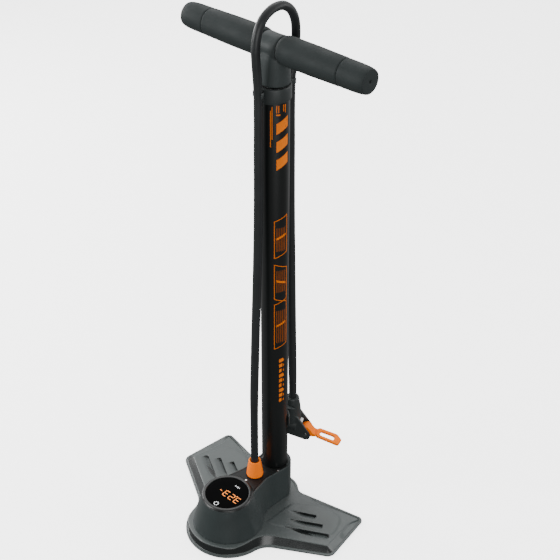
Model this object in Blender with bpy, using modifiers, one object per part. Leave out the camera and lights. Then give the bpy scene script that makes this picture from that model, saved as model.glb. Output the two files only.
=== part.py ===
"""Floor bike pump: a wedge-shaped three-toed stand, a digital gauge console, a tall barrel with a
T handle on a sliding rod, and an air hose that loops over the handle to a lever-locked valve chuck.

Units are metres, +Z is up, the handle runs along X and the gauge faces -Y.
Run with: blender --background --python part.py
"""

import math

import bmesh
import bpy
from mathutils import Vector

MM = 0.001
GAP = 0.3 * MM                      # clearance between pieces that touch
ROUND = 24                          # sides of a turned piece
SMALL_ROUND = 12                    # sides of a small turned piece
HIDDEN_ROUND = 16                   # sides of a piece inside the others

# Stand
FLANGE_BOTTOM = 1.0 * MM
FLANGE_TOP = 3.6 * MM
FLANGE_WIDTH = 3.4 * MM
NOSE_Y = -92.0 * MM
NOSE_R = 58.3 * MM
FRONT_CORNER = Vector((140.0, -38.0)) * MM
BACK_CORNER = Vector((128.3, 41.4)) * MM
FRONT_EDGE_ANGLE = math.radians(30.5)
BACK_EDGE_ANGLE = math.radians(192.0)
FRONT_CORNER_R = 13.5 * MM
BACK_CORNER_R = 8.0 * MM
NOSE_FILLET_R = 30.0 * MM
HEEL_R = 33.5 * MM                  # the stand's round heel behind the barrel
HEEL_FILLET_R = 12.0 * MM
TOP_AT_HEEL = 5.0 * MM              # the top plane's height at TOP_HEEL_Y
TOP_HEEL_Y = 27.0 * MM
TOP_SLOPE = 0.073                   # rise of the top plane per unit towards -Y
STAND_WALL = 3.0 * MM
BOSS_TOP = 11.0 * MM
PAD_R = 8.0                         # pads and screws, like every (x, y) pair below, are in mm
PADS = {
    "foot_pad_front_right": (112.0, -16.0),
    "foot_pad_back_right": (110.0, 22.0),
    "foot_pad_front_left": (-112.0, -16.0),
    "foot_pad_back_left": (-110.0, 22.0),
    "foot_pad_nose": (0.0, -134.0),
}
CONSOLE_SCREWS = {"console_screw_right": (35.6, -92.0), "console_screw_left": (-35.6, -92.0)}
BARREL_SCREWS = {
    "barrel_screw_back": (0.0, 12.0),
    "barrel_screw_left": (-10.4, -6.0),
    "barrel_screw_right": (10.4, -6.0),
}
TOE_POCKET = [(46, -60), (98, -31), (94, 16), (46, 4)]      # hollow under the right toe
LID_SCREW_Y = -113.0 * MM
CELL_Z = 9.3 * MM                   # height of the cells' axes
CELL_ROWS = {"battery_cell_front": (-99.6, 1), "battery_cell_back": (-84.4, -1)}
CONTACT_T = 0.8
CELL_R = 5.2
CELL_HALF = 22.2

# Barrel and the casting that holds it
BARREL_R = 17.5 * MM
BARREL_BORE_R = 15.5 * MM
BARREL_TOP = 622.0 * MM
CASTING_BOTTOM = BOSS_TOP + GAP
CASTING_FLOOR = 20.0 * MM
SOCKET_TOP = 60.0 * MM
SOCKET_OUTER_R = 22.6 * MM
SLEEVE_R = 19.9 * MM                # the socket's outside, where the console stands round it
SPIGOT_R = 15.1 * MM
SPIGOT_TOP = 28.0 * MM
CHANNEL_Z = 16.2 * MM
CHANNEL_R = 2.1 * MM
HOSE_Y = -39.7 * MM                 # where the hose stands on the console

# Console
RIM_AT_NOSE = 62.5 * MM
RIM_AT_BARREL = 60.0 * MM
RIM_SLOPE_START_Y = -60.0 * MM
CONSOLE_WALL = 2.2 * MM
CONSOLE_END_Y = 3.0 * MM
GAUGE_Y = -93.5 * MM
GAUGE_TOP = 65.5 * MM
LENS_R = 28.6 * MM

# Handle
HANDLE_Z = 672.0 * MM
HANDLE_HALF = 134.0 * MM
STEM_BOTTOM = 629.6 * MM
COLLAR_BOTTOM = 609.0 * MM
COLLAR_TOP = 628.0 * MM
COLLAR_R = 19.5 * MM
CLIP_Y = 27.2 * MM                  # the hose's distance from the barrel axis in the collar's clips
ROD_R = 6.0 * MM
ALONG_X = (0, math.pi / 2, 0)
ALONG_MINUS_X = (0, -math.pi / 2, 0)

# Hose
HOSE_R = 5.2 * MM
HOSE_ROUTE = [                      # (y, z) of the hose's centre line, from the boot to the chuck
    (-39.7, 73.0), (-39.8, 87.0), (-39.8, 123.0), (-39.3, 192.0), (-37.6, 240.0), (-35.2, 300.0),
    (-32.0, 370.0), (-29.3, 440.0), (-27.9, 500.0), (-27.4, 560.0), (-27.2, 600.0), (-27.2, 626.0),
    (-28.6, 646.0), (-30.1, 664.0), (-30.4, 679.0), (-27.2, 695.0), (-18.8, 708.0), (-7.0, 714.6),
    (3.7, 716.2), (14.6, 714.2), (25.4, 706.6), (32.6, 694.0), (34.9, 678.0), (33.6, 658.0),
    (30.2, 640.0), (27.6, 624.0), (27.2, 604.0), (27.2, 546.0), (28.1, 464.0), (30.7, 360.0),
    (33.3, 265.0), (35.3, 195.0), (36.0, 160.0), (36.0, 140.5),
]

# Chuck, in its own frame: X along the lever, Z up, the neck's axis at X = Y = 0
CHUCK_Y = 36.0 * MM
CHUCK_TURN = math.radians(28.0)
CHUCK_TILT = math.radians(12.0)
CHUCK_AXIS_Z = 107.55 * MM          # height of the sloping bore's axis at X = 0
BORE_ROTATION = (0, math.pi / 2 + CHUCK_TILT, 0)    # turns +Z to run along the bore to the lever
CHUCK_R = 12.2 * MM
BODY_FRONT, BODY_BACK = -15.0, 7.0
PLUNGER_R = 8.6
NECK = [(8.2, 152.0), (9.0, 150.5), (10.9, 136.0), (12.3, 121.0), (11.8, 112.0)]
HOLDER_LEVELS = (127.0, 143.0)
HOLDER_CUP_R = 16.4
HOLDER_MOUTH = 9.0                  # the cup ends this far in front of the hose's centre line
NECK_SEAT_R = 7.2                   # room for the hose and its crimped ferrule
FERRULE_R = 6.9
HOSE_END_Z = 140.5
CHEEK = [(-8, 92.5), (20.5, 86.0), (25.4, 87.7), (27.4, 92.7), (25.5, 99.7), (8.5, 124.5),
         (-2, 124.5), (-9, 114)]
CHEEK_INNER = 7.0 * MM
CHEEK_OUTER = 10.3 * MM
PIVOT_X = 20.5 * MM
PIVOT_Z = 95.8 * MM
LEVER_DROOP = math.radians(15.0)
CAM_R = 8.2 * MM
CAM_LIFT = 2.0 * MM
LEVER_TURN = math.radians(90.0)
LEVER_LOOP = [(13.6, -5.6), (16.4, -9.0), (45.6, -9.8), (47.8, -8.0), (49.4, 0.6), (48.6, 2.6),
              (42.6, 8.2), (40.6, 9.0), (16.4, 8.6), (13.6, 5.6)]
LEVER_SLOT = [(18.8, -3.0), (20.6, -4.9), (37.6, -5.2), (39.4, -3.4), (39.2, 2.4), (37.4, 4.0),
              (20.6, 3.7), (18.8, 1.9)]
LEVER_ARM = (0.6, 4.2)              # the arm's underside and top, about the pivot
PLUNGER_GAP = 0.6 * MM

FINISHES = {                        # colour, roughness, metallic
    "painted_stand": ((0.17, 0.19, 0.19), 0.35, 0.0),
    "console_shell": ((0.045, 0.055, 0.055), 0.45, 0.0),
    "deck_black": ((0.02, 0.022, 0.022), 0.5, 0.0),
    "bezel_black": ((0.01, 0.01, 0.011), 0.3, 0.0),
    "lens_glass": ((0.005, 0.005, 0.006), 0.05, 0.0),
    "board_green": ((0.02, 0.12, 0.05), 0.5, 0.0),
    "barrel_black": ((0.01, 0.011, 0.012), 0.4, 0.0),
    "black_plastic": ((0.03, 0.033, 0.034), 0.55, 0.0),
    "handle_grey": ((0.05, 0.06, 0.06), 0.6, 0.0),
    "rubber": ((0.02, 0.02, 0.02), 0.8, 0.0),
    "hose_black": ((0.02, 0.022, 0.023), 0.55, 0.0),
    "orange_plastic": ((0.9, 0.24, 0.01), 0.4, 0.0),
    "white_plastic": ((0.75, 0.75, 0.74), 0.4, 0.0),
    "steel": ((0.6, 0.6, 0.6), 0.25, 1.0),
    "cast_alloy": ((0.4, 0.4, 0.41), 0.5, 1.0),
    "brass": ((0.75, 0.55, 0.2), 0.3, 1.0),
    "battery_wrap": ((0.5, 0.1, 0.05), 0.4, 0.3),
}


# ---------------------------------------------------------------- scene and object helpers

def clear_scene():
    for obj in list(bpy.data.objects):
        bpy.data.objects.remove(obj, do_unlink=True)


def new_collection(name):
    collection = bpy.data.collections.new(name)
    bpy.context.scene.collection.children.link(collection)
    return collection


def finish_material(name):
    material = bpy.data.materials.get(name)
    if material:
        return material
    colour, roughness, metallic = FINISHES[name]
    material = bpy.data.materials.new(name)
    material.use_nodes = True
    shader = material.node_tree.nodes["Principled BSDF"]
    shader.inputs["Base Color"].default_value = (*colour, 1.0)
    shader.inputs["Roughness"].default_value = roughness
    shader.inputs["Metallic"].default_value = metallic
    return material


def own_material(name, finish):
    """Each part has its own copy of its finish."""
    material = finish_material(finish).copy()
    material.name = name + "_finish"
    return material


def empty(name, location, parent=None, turn=0.0):
    obj = bpy.data.objects.new(name, None)
    PARTS.objects.link(obj)
    obj.parent = parent
    obj.location = location
    obj.rotation_euler = (0, 0, turn)
    return obj


def place(name, data, finish, parent, location, rotation):
    """Links new data as a part, or as a cutter where it has no finish."""
    obj = bpy.data.objects.new(name, data)
    if finish:
        PARTS.objects.link(obj)
        data.materials.append(own_material(name, finish))
    else:
        CUTTERS.objects.link(obj)
        obj.display_type = "WIRE"
        obj.hide_render = True
    obj.parent = parent
    obj.location = location
    obj.rotation_euler = rotation
    return obj


def settle(obj, sharp_degrees=35.0):
    """Turns a curve or a piece with modifiers into the welded mesh that it makes."""
    bpy.context.view_layer.update()
    graph = bpy.context.evaluated_depsgraph_get()
    mesh = bpy.data.meshes.new_from_object(obj.evaluated_get(graph), depsgraph=graph)
    shape = bmesh.new()
    shape.from_mesh(mesh)
    bmesh.ops.remove_doubles(shape, verts=shape.verts, dist=0.002 * MM)
    shape.to_mesh(mesh)
    shape.free()
    mesh.shade_smooth()
    mesh.set_sharp_from_angle(angle=math.radians(sharp_degrees))
    if obj.type == "MESH":
        obj.modifiers.clear()
        obj.data = mesh
        return obj
    name = obj.name
    solid = bpy.data.objects.new(name + "_solid", mesh)
    for collection in obj.users_collection:
        collection.objects.link(solid)
    solid.parent = obj.parent
    solid.matrix_world = obj.matrix_world
    solid.display_type = obj.display_type
    solid.hide_render = obj.hide_render
    bpy.data.objects.remove(obj)
    solid.name = name
    return solid


def turned(name, profile, finish=None, parent=None, location=(0, 0, 0), rotation=(0, 0, 0),
           steps=ROUND):
    """A profile of (radius, height) in mm, down its outer side, turned about Z.

    It starts and ends on the axis, or closes on itself as a ring.
    """
    mesh = bpy.data.meshes.new(name)
    count = len(profile)
    edges = [(i, i + 1) for i in range(count - 1)]
    if profile[0][0] > 0:
        edges.append((count - 1, 0))
    mesh.from_pydata([(r * MM, 0, z * MM) for r, z in profile], edges, [])
    obj = place(name, mesh, finish, parent, location, rotation)
    screw = obj.modifiers.new("Turn", "SCREW")
    screw.axis = "Z"
    screw.steps = steps
    screw.render_steps = steps
    screw.use_merge_vertices = True
    screw.merge_threshold = 0.00001
    return settle(obj)


def rod(name, radius, bottom, top, finish=None, parent=None, location=(0, 0, 0),
        rotation=(0, 0, 0), steps=ROUND):
    """A plain cylinder between two heights in mm."""
    profile = [(0, top), (radius, top), (radius, bottom), (0, bottom)]
    return turned(name, profile, finish, parent, location, rotation, steps)


def ring(name, inner, outer, bottom, top, finish=None, parent=None, location=(0, 0, 0),
         rotation=(0, 0, 0), steps=ROUND):
    """A plain tube between two heights in mm."""
    profile = [(outer, top), (outer, bottom), (inner, bottom), (inner, top)]
    return turned(name, profile, finish, parent, location, rotation, steps)


def block(name, low, high, finish=None, parent=None):
    """A box between two corners in mm."""
    low, high = Vector(low) * MM, Vector(high) * MM
    mesh = bpy.data.meshes.new(name)
    shape = bmesh.new()
    bmesh.ops.create_cube(shape, size=1.0)
    bmesh.ops.scale(shape, vec=high - low, verts=shape.verts)
    shape.to_mesh(mesh)
    shape.free()
    return place(name, mesh, finish, parent, (low + high) / 2, (0, 0, 0))


def plate(name, outlines, bottom, top, finish=None, parent=None, location=(0, 0, 0),
          rotation=(0, 0, 0)):
    """Flat outlines in metres, the outer one first and then holes, made bottom to top mm thick."""
    curve = bpy.data.curves.new(name, "CURVE")
    curve.dimensions = "2D"
    curve.fill_mode = "BOTH"
    curve.extrude = (top - bottom) / 2 * MM
    for outline in outlines:
        spline = curve.splines.new("POLY")
        spline.points.add(len(outline) - 1)
        spline.use_cyclic_u = True
        for point, (x, y) in zip(spline.points, outline):
            point.co = (x, y, (top + bottom) / 2 * MM, 1)
    obj = place(name, curve, finish, parent, location, rotation)
    return settle(obj)


def loft(name, rings, finish=None, parent=None):
    """A closed solid through rings of equal length, from the lowest to the highest."""
    count = len(rings[0])
    points = [point for one in rings for point in one]
    faces = []
    for level in range(len(rings) - 1):
        low, high = level * count, (level + 1) * count
        for i in range(count):
            j = (i + 1) % count
            faces.append((low + i, low + j, high + j, high + i))
    faces.append(tuple(reversed(range(count))))
    faces.append(tuple(range((len(rings) - 1) * count, len(rings) * count)))
    mesh = bpy.data.meshes.new(name)
    mesh.from_pydata(points, [], faces)
    mesh.shade_smooth()
    mesh.set_sharp_from_angle(angle=math.radians(35.0))
    return place(name, mesh, finish, parent, (0, 0, 0), (0, 0, 0))


def tube(name, points, radius, finish, parent, bevel_resolution=2):
    """A round tube with filled ends along points in metres."""
    curve = bpy.data.curves.new(name, "CURVE")
    curve.dimensions = "3D"
    curve.bevel_depth = radius
    curve.bevel_resolution = bevel_resolution
    curve.use_fill_caps = True
    spline = curve.splines.new("POLY")
    spline.points.add(len(points) - 1)
    for point, co in zip(spline.points, points):
        point.co = (*co, 1)
    return place(name, curve, finish, parent, (0, 0, 0), (0, 0, 0))


def join(obj, tool, operation):
    """Applies one Boolean, so that the next one starts from a welded mesh."""
    boolean = obj.modifiers.new(operation.title() + " " + tool.name, "BOOLEAN")
    boolean.operation = operation
    boolean.solver = "EXACT"
    boolean.object = tool
    return settle(obj)


def cut(obj, *tools):
    for tool in tools:
        join(obj, tool, "DIFFERENCE")
    return obj


def unite(obj, *tools):
    for tool in tools:
        join(obj, tool, "UNION")
    return obj


# ---------------------------------------------------------------- outlines

def arc(centre, radius, start, end, count):
    """Points on a circle from one angle to another, both ends included."""
    return [
        Vector((centre[0] + radius * math.cos(start + (end - start) * i / count),
                centre[1] + radius * math.sin(start + (end - start) * i / count)))
        for i in range(count + 1)
    ]


def direction(angle):
    return Vector((math.cos(angle), math.sin(angle)))


def corner_arc(corner, angle_in, angle_out, radius, count):
    """The rounding of a convex corner of an anticlockwise outline."""
    tangent = radius * math.tan((angle_out - angle_in) / 2)
    inward = direction(angle_in + math.pi / 2)
    centre = corner - direction(angle_in) * tangent + inward * radius
    return arc(centre, radius, angle_in - math.pi / 2, angle_out - math.pi / 2, count)


def concave_centre(circle, circle_r, line_point, line_angle, fillet_r, side):
    """Centre of a fillet outside both a circle and a line; side is which way along the line it lies."""
    outward = direction(line_angle - math.pi / 2)
    offset = (line_point - circle).dot(outward) + fillet_r
    along = math.sqrt((circle_r + fillet_r) ** 2 - offset ** 2)
    return circle + outward * offset + direction(line_angle) * along * side


def stand_half_outline():
    """The stand's edge on the +X side, from the nose's tip round to the heel."""
    nose = Vector((0, NOSE_Y))
    front = concave_centre(nose, NOSE_R, FRONT_CORNER, FRONT_EDGE_ANGLE, NOSE_FILLET_R, 1)
    to_front = front - nose
    meet = math.atan2(to_front.y, to_front.x)
    points = arc(nose, NOSE_R, -math.pi / 2, meet, 11)
    points += arc(front, NOSE_FILLET_R, meet + math.pi, FRONT_EDGE_ANGLE + math.pi / 2, 4)[1:]
    edge = BACK_CORNER - FRONT_CORNER
    outer_angle = math.atan2(edge.y, edge.x)
    points += corner_arc(FRONT_CORNER, FRONT_EDGE_ANGLE, outer_angle, FRONT_CORNER_R, 4)
    points += corner_arc(BACK_CORNER, outer_angle, BACK_EDGE_ANGLE, BACK_CORNER_R, 4)
    heel = Vector((0, 0))
    back = concave_centre(heel, HEEL_R, BACK_CORNER, BACK_EDGE_ANGLE, HEEL_FILLET_R, -1)
    to_back = math.atan2(back.y, back.x)
    points += arc(back, HEEL_FILLET_R, BACK_EDGE_ANGLE + math.pi / 2 - 2 * math.pi,
                  to_back - math.pi, 3)
    points += arc(heel, HEEL_R, to_back, math.pi / 2, 4)[1:]
    return points


def mirrored(half):
    """Both sides of an outline whose half starts and ends on the middle line."""
    return half + [Vector((-p.x, p.y)) for p in reversed(half[1:-1])]


def inset(outline, amounts):
    """Each point of an anticlockwise outline moved inwards by its own amount."""
    moved = []
    count = len(outline)
    for i, point in enumerate(outline):
        along = (outline[(i + 1) % count] - outline[i - 1]).normalized()
        moved.append(point + Vector((-along.y, along.x)) * amounts[i])
    return moved


def smooth_step(value, low, high):
    t = min(1.0, max(0.0, (value - low) / (high - low)))
    return t * t * (3 - 2 * t)


def stand_top(y):
    """Height of the stand's sloping top plane."""
    return TOP_AT_HEEL + TOP_SLOPE * (TOP_HEEL_Y - y)


def wall_insets(outline):
    """How far the top of the stand's wall leans in: little at the nose and heel, more at the toes."""
    steep, leaning, heel = 4.6 * MM, 9.4 * MM, 6.0 * MM
    amounts = []
    for point in outline:
        toe = smooth_step(abs(point.x), 44 * MM, 66 * MM)
        amount = steep + (leaning - steep) * toe
        back = smooth_step(point.y, 18 * MM, 38 * MM)
        amounts.append(amount + (heel - amount) * back)
    return amounts


STAND_OUTLINE = mirrored(stand_half_outline())
BARREL_Y = -(min(p.y for p in STAND_OUTLINE) + max(p.y for p in STAND_OUTLINE)) / 2


def smooth_through(points, steps):
    """A Catmull-Rom curve through points, with this many steps between neighbours."""
    padded = [points[0] * 2 - points[1]] + points + [points[-1] * 2 - points[-2]]
    curve = [points[0]]
    for i in range(1, len(padded) - 2):
        a, b, c, d = padded[i - 1:i + 3]
        for k in range(1, steps + 1):
            t = k / steps
            curve.append((b * 2 + (c - a) * t + (a * 2 - b * 5 + c * 4 - d) * t * t
                          + (b * 3 - a - c * 3 + d) * t * t * t) / 2)
    return curve


def console_half_outline(nose_y, nose_width, nose_depth, side_points):
    """The console's wall on the +X side: an elliptical nose, then a curve through the side points."""
    first = side_points[0]
    join_angle = math.asin((first[1] * MM - nose_y) / nose_depth)
    nose = []
    for i in range(10):
        angle = -math.pi / 2 + (join_angle + math.pi / 2) * i / 9
        nose.append(Vector((nose_width * math.cos(angle), nose_y + nose_depth * math.sin(angle))))
    side = smooth_through([nose[-1]] + [Vector(p) * MM for p in side_points[1:]], 3)
    return nose + side[1:]


def both_sides(half):
    """An open outline from the far end on +X, round the nose, to the far end on -X."""
    return list(reversed(half)) + [Vector((-p.x, p.y)) for p in half[1:]]


CONSOLE_FOOT = both_sides(console_half_outline(
    NOSE_Y, 46.5 * MM, 49.0 * MM, [(36.6, -62), (28.0, -50), (24.2, -38), (23.9, -22), (24.0, 3)]))
CONSOLE_RIM = both_sides(console_half_outline(
    GAUGE_Y, 34.4 * MM, 34.4 * MM, [(26.0, -71), (21.6, -52), (18.9, -36), (20.6, -17), (22.6, 3)]))


def rim_height(y):
    """Height of the console's upper edge, level at the gauge and falling towards the barrel."""
    t = min(1.0, max(0.0, (y - RIM_SLOPE_START_Y) / -RIM_SLOPE_START_Y))
    return RIM_AT_NOSE + (RIM_AT_BARREL - RIM_AT_NOSE) * t


# ---------------------------------------------------------------- stand

def make_stand():
    lean = wall_insets(STAND_OUTLINE)
    none = [0.0] * len(lean)
    edge = 0.6 * MM
    levels = [
        ([edge] * len(lean), lambda y: FLANGE_BOTTOM),
        (none, lambda y: FLANGE_BOTTOM + edge),
        (none, lambda y: FLANGE_TOP - edge),
        ([edge] * len(lean), lambda y: FLANGE_TOP),
        ([FLANGE_WIDTH] * len(lean), lambda y: FLANGE_TOP + 0.2 * MM),
        ([a - 1.2 * MM for a in lean], lambda y: stand_top(y) - 0.8 * MM),
        (lean, stand_top),
    ]
    rings = []
    for amounts, height in levels:
        rings.append([(p.x, p.y, height(p.y)) for p in inset(STAND_OUTLINE, amounts)])
    stand = loft("base_stand", rings, "painted_stand", PUMP)
    boss = rod("boss_tool", SOCKET_OUTER_R / MM, 3.0, BOSS_TOP / MM, parent=PUMP)
    unite(stand, cut(boss, console_room()))
    for corners in (TOE_POCKET, [(-x, y) for x, y in reversed(TOE_POCKET)]):
        low = [(x * MM, y * MM, 0) for x, y in corners]
        high = [(x * MM, y * MM, stand_top(y * MM) - STAND_WALL) for x, y in corners]
        cut(stand, loft("toe_pocket_tool", [low, high], None, PUMP))
    cut(stand, block("battery_bay_tool", (-25.6, -109, -5), (25.6, -75, 40), parent=PUMP))
    cut(stand, block("battery_lid_tool", (-30.3, -117, -5), (30.3, -71.7, 3.0), parent=PUMP))
    cut(stand, rod("wire_hole_tool", 3.0, -5, 30, parent=PUMP, location=(0, -0.062, 0),
                   steps=SMALL_ROUND))
    for x, y in PADS.values():
        cut(stand, rod("pad_seat_tool", PAD_R + 0.3, -1, 3.0, parent=PUMP,
                       location=(x * MM, y * MM, 0), steps=HIDDEN_ROUND))
    for x, y in CONSOLE_SCREWS.values():
        profile = [(0, 40), (2.0, 40), (2.0, 7.0), (3.9, 7.0), (3.9, -1), (0, -1)]
        cut(stand, turned("console_screw_tool", profile, parent=PUMP,
                          location=(x * MM, y * MM, 0), steps=SMALL_ROUND))
    for x, y in BARREL_SCREWS.values():
        profile = [(0, 20), (2.4, 20), (2.4, 6.0), (4.4, 6.0), (4.4, -1), (0, -1)]
        cut(stand, turned("barrel_screw_tool", profile, parent=PUMP,
                          location=(x * MM, y * MM, 0), steps=SMALL_ROUND))
    cut(stand, rod("lid_screw_tool", 1.5, 2, 9, parent=PUMP, location=(0, LID_SCREW_Y, 0),
                   steps=SMALL_ROUND))


def make_stand_fittings():
    for name, (x, y) in PADS.items():
        profile = [(0, 2.7), (PAD_R, 2.7), (PAD_R, 0.5), (PAD_R - 0.5, 0), (0, 0)]
        turned(name, profile, "rubber", PUMP, (x * MM, y * MM, 0), steps=HIDDEN_ROUND)
    for name, (x, y) in CONSOLE_SCREWS.items():
        screw = [(0, 27), (1.5, 27), (1.5, 6.7), (3.5, 6.7), (3.5, 4.2), (1.2, 4.2), (1.2, 5.6),
                 (0, 5.6)]
        turned(name, screw, "steel", PUMP, (x * MM, y * MM, 0), steps=SMALL_ROUND)
    for name, (x, y) in BARREL_SCREWS.items():
        screw = [(0, 17.6), (1.9, 17.6), (1.9, 5.7), (4.0, 5.7), (4.0, 2.6), (1.5, 2.6),
                 (1.5, 4.4), (0, 4.4)]
        turned(name, screw, "steel", PUMP, (x * MM, y * MM, 0), steps=SMALL_ROUND)


# ---------------------------------------------------------------- batteries under the nose

def make_batteries():
    box = block("battery_box", (-25.3, -108.7, 3.3), (25.3, -75.3, 17.2), "black_plastic", PUMP)
    cut(box, block("battery_room_tool", (-23.8, -107.2, 0), (23.8, -76.8, 15.7), parent=PUMP))
    cut(box, rod("battery_wire_tool", 1.5, 10, 30, parent=PUMP, location=(0, NOSE_Y, 0),
                 steps=SMALL_ROUND))
    lid = block("battery_cover", (-30, -116.7, 1.0), (30, -72, 2.7), "black_plastic", PUMP)
    cut(lid, rod("lid_hole_tool", 1.6, 0, 5, parent=PUMP, location=(0, LID_SCREW_Y, 0),
                 steps=SMALL_ROUND))
    screw = [(0, 8), (1.2, 8), (1.2, 1.9), (0.9, 1.2), (0, 1.2)]
    turned("battery_cover_screw", screw, "steel", PUMP, (0, LID_SCREW_Y, 0), steps=SMALL_ROUND)
    cell = [(0, CELL_HALF), (1.8, CELL_HALF), (1.8, CELL_HALF - 1), (CELL_R, CELL_HALF - 1.2),
            (CELL_R, -CELL_HALF), (0, -CELL_HALF)]
    for name, (y, turn) in CELL_ROWS.items():
        turned(name, cell, "battery_wrap", PUMP, (0, y * MM, CELL_Z), (0, turn * math.pi / 2, 0),
               steps=HIDDEN_ROUND)
    for name, x in (("battery_contact_right", 22.6), ("battery_contact_left", -23.4)):
        block(name, (x, -104, 4.5), (x + CONTACT_T, -80, 14), "brass", PUMP)


# ---------------------------------------------------------------- casting, valve and barrel

def console_room():
    """Cutter for the room that the console's wall needs in front of the socket's full width."""
    room = block("console_room_tool", (-30, -40, 5), (30, CONSOLE_END_Y / MM + 0.3, 80),
                 parent=PUMP)
    return cut(room, rod("sleeve_tool", SLEEVE_R / MM, 0, 90, parent=PUMP))


def make_casting():
    """One casting under the console: the barrel's socket, and the air way to the hose."""
    spigot, floor = SPIGOT_R / MM, CASTING_FLOOR / MM
    profile = [(0, SPIGOT_TOP / MM), (spigot, SPIGOT_TOP / MM), (spigot, 26.4), (13.5, 26.4),
               (13.5, 23.8), (spigot, 23.8), (spigot, floor), (17.8, floor),
               (17.8, SOCKET_TOP / MM), (SOCKET_OUTER_R / MM, SOCKET_TOP / MM),
               (SOCKET_OUTER_R / MM, CASTING_BOTTOM / MM), (0, CASTING_BOTTOM / MM)]
    casting = turned("barrel_socket", profile, "cast_alloy", PUMP)
    above = block("socket_rim_tool", (-30, -40, 55), (30, CONSOLE_END_Y / MM + 0.3, 80),
                  parent=PUMP)
    cut(casting, console_room(), above)
    unite(casting, block("channel_arm_tool", (-8, -49, 11.8), (8, -17.9, 20.4), parent=PUMP))
    channel_end = Vector((0, -60, CHANNEL_Z / MM)) * MM
    along_y = (-math.pi / 2, 0, 0)
    cut(casting, rod("channel_tool", CHANNEL_R / MM, 0, 61, parent=PUMP, location=channel_end,
                     rotation=along_y, steps=SMALL_ROUND))
    cut(casting, rod("plug_seat_tool", 3.5, 0, 15.1, parent=PUMP, location=channel_end,
                     rotation=along_y, steps=SMALL_ROUND))
    cut(casting, rod("barb_seat_tool", 3.4, CHANNEL_Z / MM - 0.7, 30, parent=PUMP,
                     location=(0, HOSE_Y, 0), steps=SMALL_ROUND))
    cut(casting, rod("valve_bore_tool", 5.2, CHANNEL_Z / MM - 1.3, 40, parent=PUMP,
                     steps=HIDDEN_ROUND))
    for x, y in BARREL_SCREWS.values():
        cut(casting, rod("barrel_thread_tool", 2.2, 0, 18, parent=PUMP,
                         location=(x * MM, y * MM, 0), steps=SMALL_ROUND))


def make_valve():
    ring("check_valve_seat", 2.6, 4.9, 23.4, 27.6, "brass", PUMP, steps=HIDDEN_ROUND)
    disc = empty("check_valve_slide", (0, 0, 22.3 * MM), PUMP)
    rod("check_valve_disc", 4.6, -0.8, 0.8, "rubber", disc, steps=HIDDEN_ROUND)
    turns, coil_r, wire_r, bottom, top = 4, 3.5, 0.4, 15.7, 20.7
    points = []
    for i in range(turns * 10 + 1):
        angle = 2 * math.pi * i / 10
        height = bottom + (top - bottom) * i / (turns * 10)
        points.append(Vector((coil_r * math.cos(angle), coil_r * math.sin(angle), height)) * MM)
    tube("check_valve_spring", points, wire_r * MM, "steel", PUMP, 0)
    o_ring("barrel_o_ring", 14.55, 0.75, 25.1)
    plug = [(0, 4.2), (3.2, 4.2), (3.2, 0), (1.6, 0), (1.6, -1.8), (0, -1.8)]
    turned("channel_plug", plug, "brass", PUMP, (0, -49.3 * MM, CHANNEL_Z),
           (-math.pi / 2, 0, 0), steps=SMALL_ROUND)


def o_ring(name, major, minor, height, parent=None):
    section = []
    for i in range(6):
        angle = math.pi / 2 - 2 * math.pi * i / 6
        section.append((major + minor * math.cos(angle), height + minor * math.sin(angle)))
    turned(name, section, "rubber", parent or PUMP, steps=HIDDEN_ROUND)


def make_barrel():
    ring("barrel_tube", BARREL_BORE_R / MM, BARREL_R / MM, CASTING_FLOOR / MM + 0.3,
         BARREL_TOP / MM, "barrel_black", PUMP)
    bush = [(17.3, 624.2), (17.3, 622.3), (15.2, 622.3), (15.2, 600), (6.25, 600), (6.25, 616.7),
            (9.2, 616.7), (9.2, 624.2)]
    turned("rod_bush", bush, "black_plastic", PUMP, steps=HIDDEN_ROUND)
    ring("rod_wiper", 6.25, 8.9, 617, 621, "rubber", PUMP, steps=HIDDEN_ROUND)
    ring("stroke_bumper", 6.6, 13.5, 590, 599.7, "rubber", PUMP, steps=HIDDEN_ROUND)


def make_collar():
    """The ring on the barrel's top, with a clip for the hose on the front and on the back."""
    profile = [(COLLAR_R / MM, COLLAR_TOP / MM), (COLLAR_R / MM, COLLAR_BOTTOM / MM),
               (17.8, COLLAR_BOTTOM / MM), (17.8, 624.5), (8.5, 624.5), (8.5, COLLAR_TOP / MM)]
    collar = turned("top_collar", profile, "black_plastic", PUMP)
    for side in (-1, 1):
        near, far = sorted((side * 18.6, side * 31.2))
        clip = block("clip_tool", (-8, near, 611), (8, far, 627), parent=PUMP)
        hose_y = side * CLIP_Y
        cut(clip, rod("clip_bore_tool", 5.6, 600, 640, parent=PUMP,
                      location=(0, hose_y, 0), steps=HIDDEN_ROUND))
        near, far = sorted((hose_y / MM, side * 40))
        cut(clip, block("clip_mouth_tool", (-4.4, near, 600), (4.4, far, 640), parent=PUMP))
        unite(collar, clip)


# ---------------------------------------------------------------- console and gauge

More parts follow.
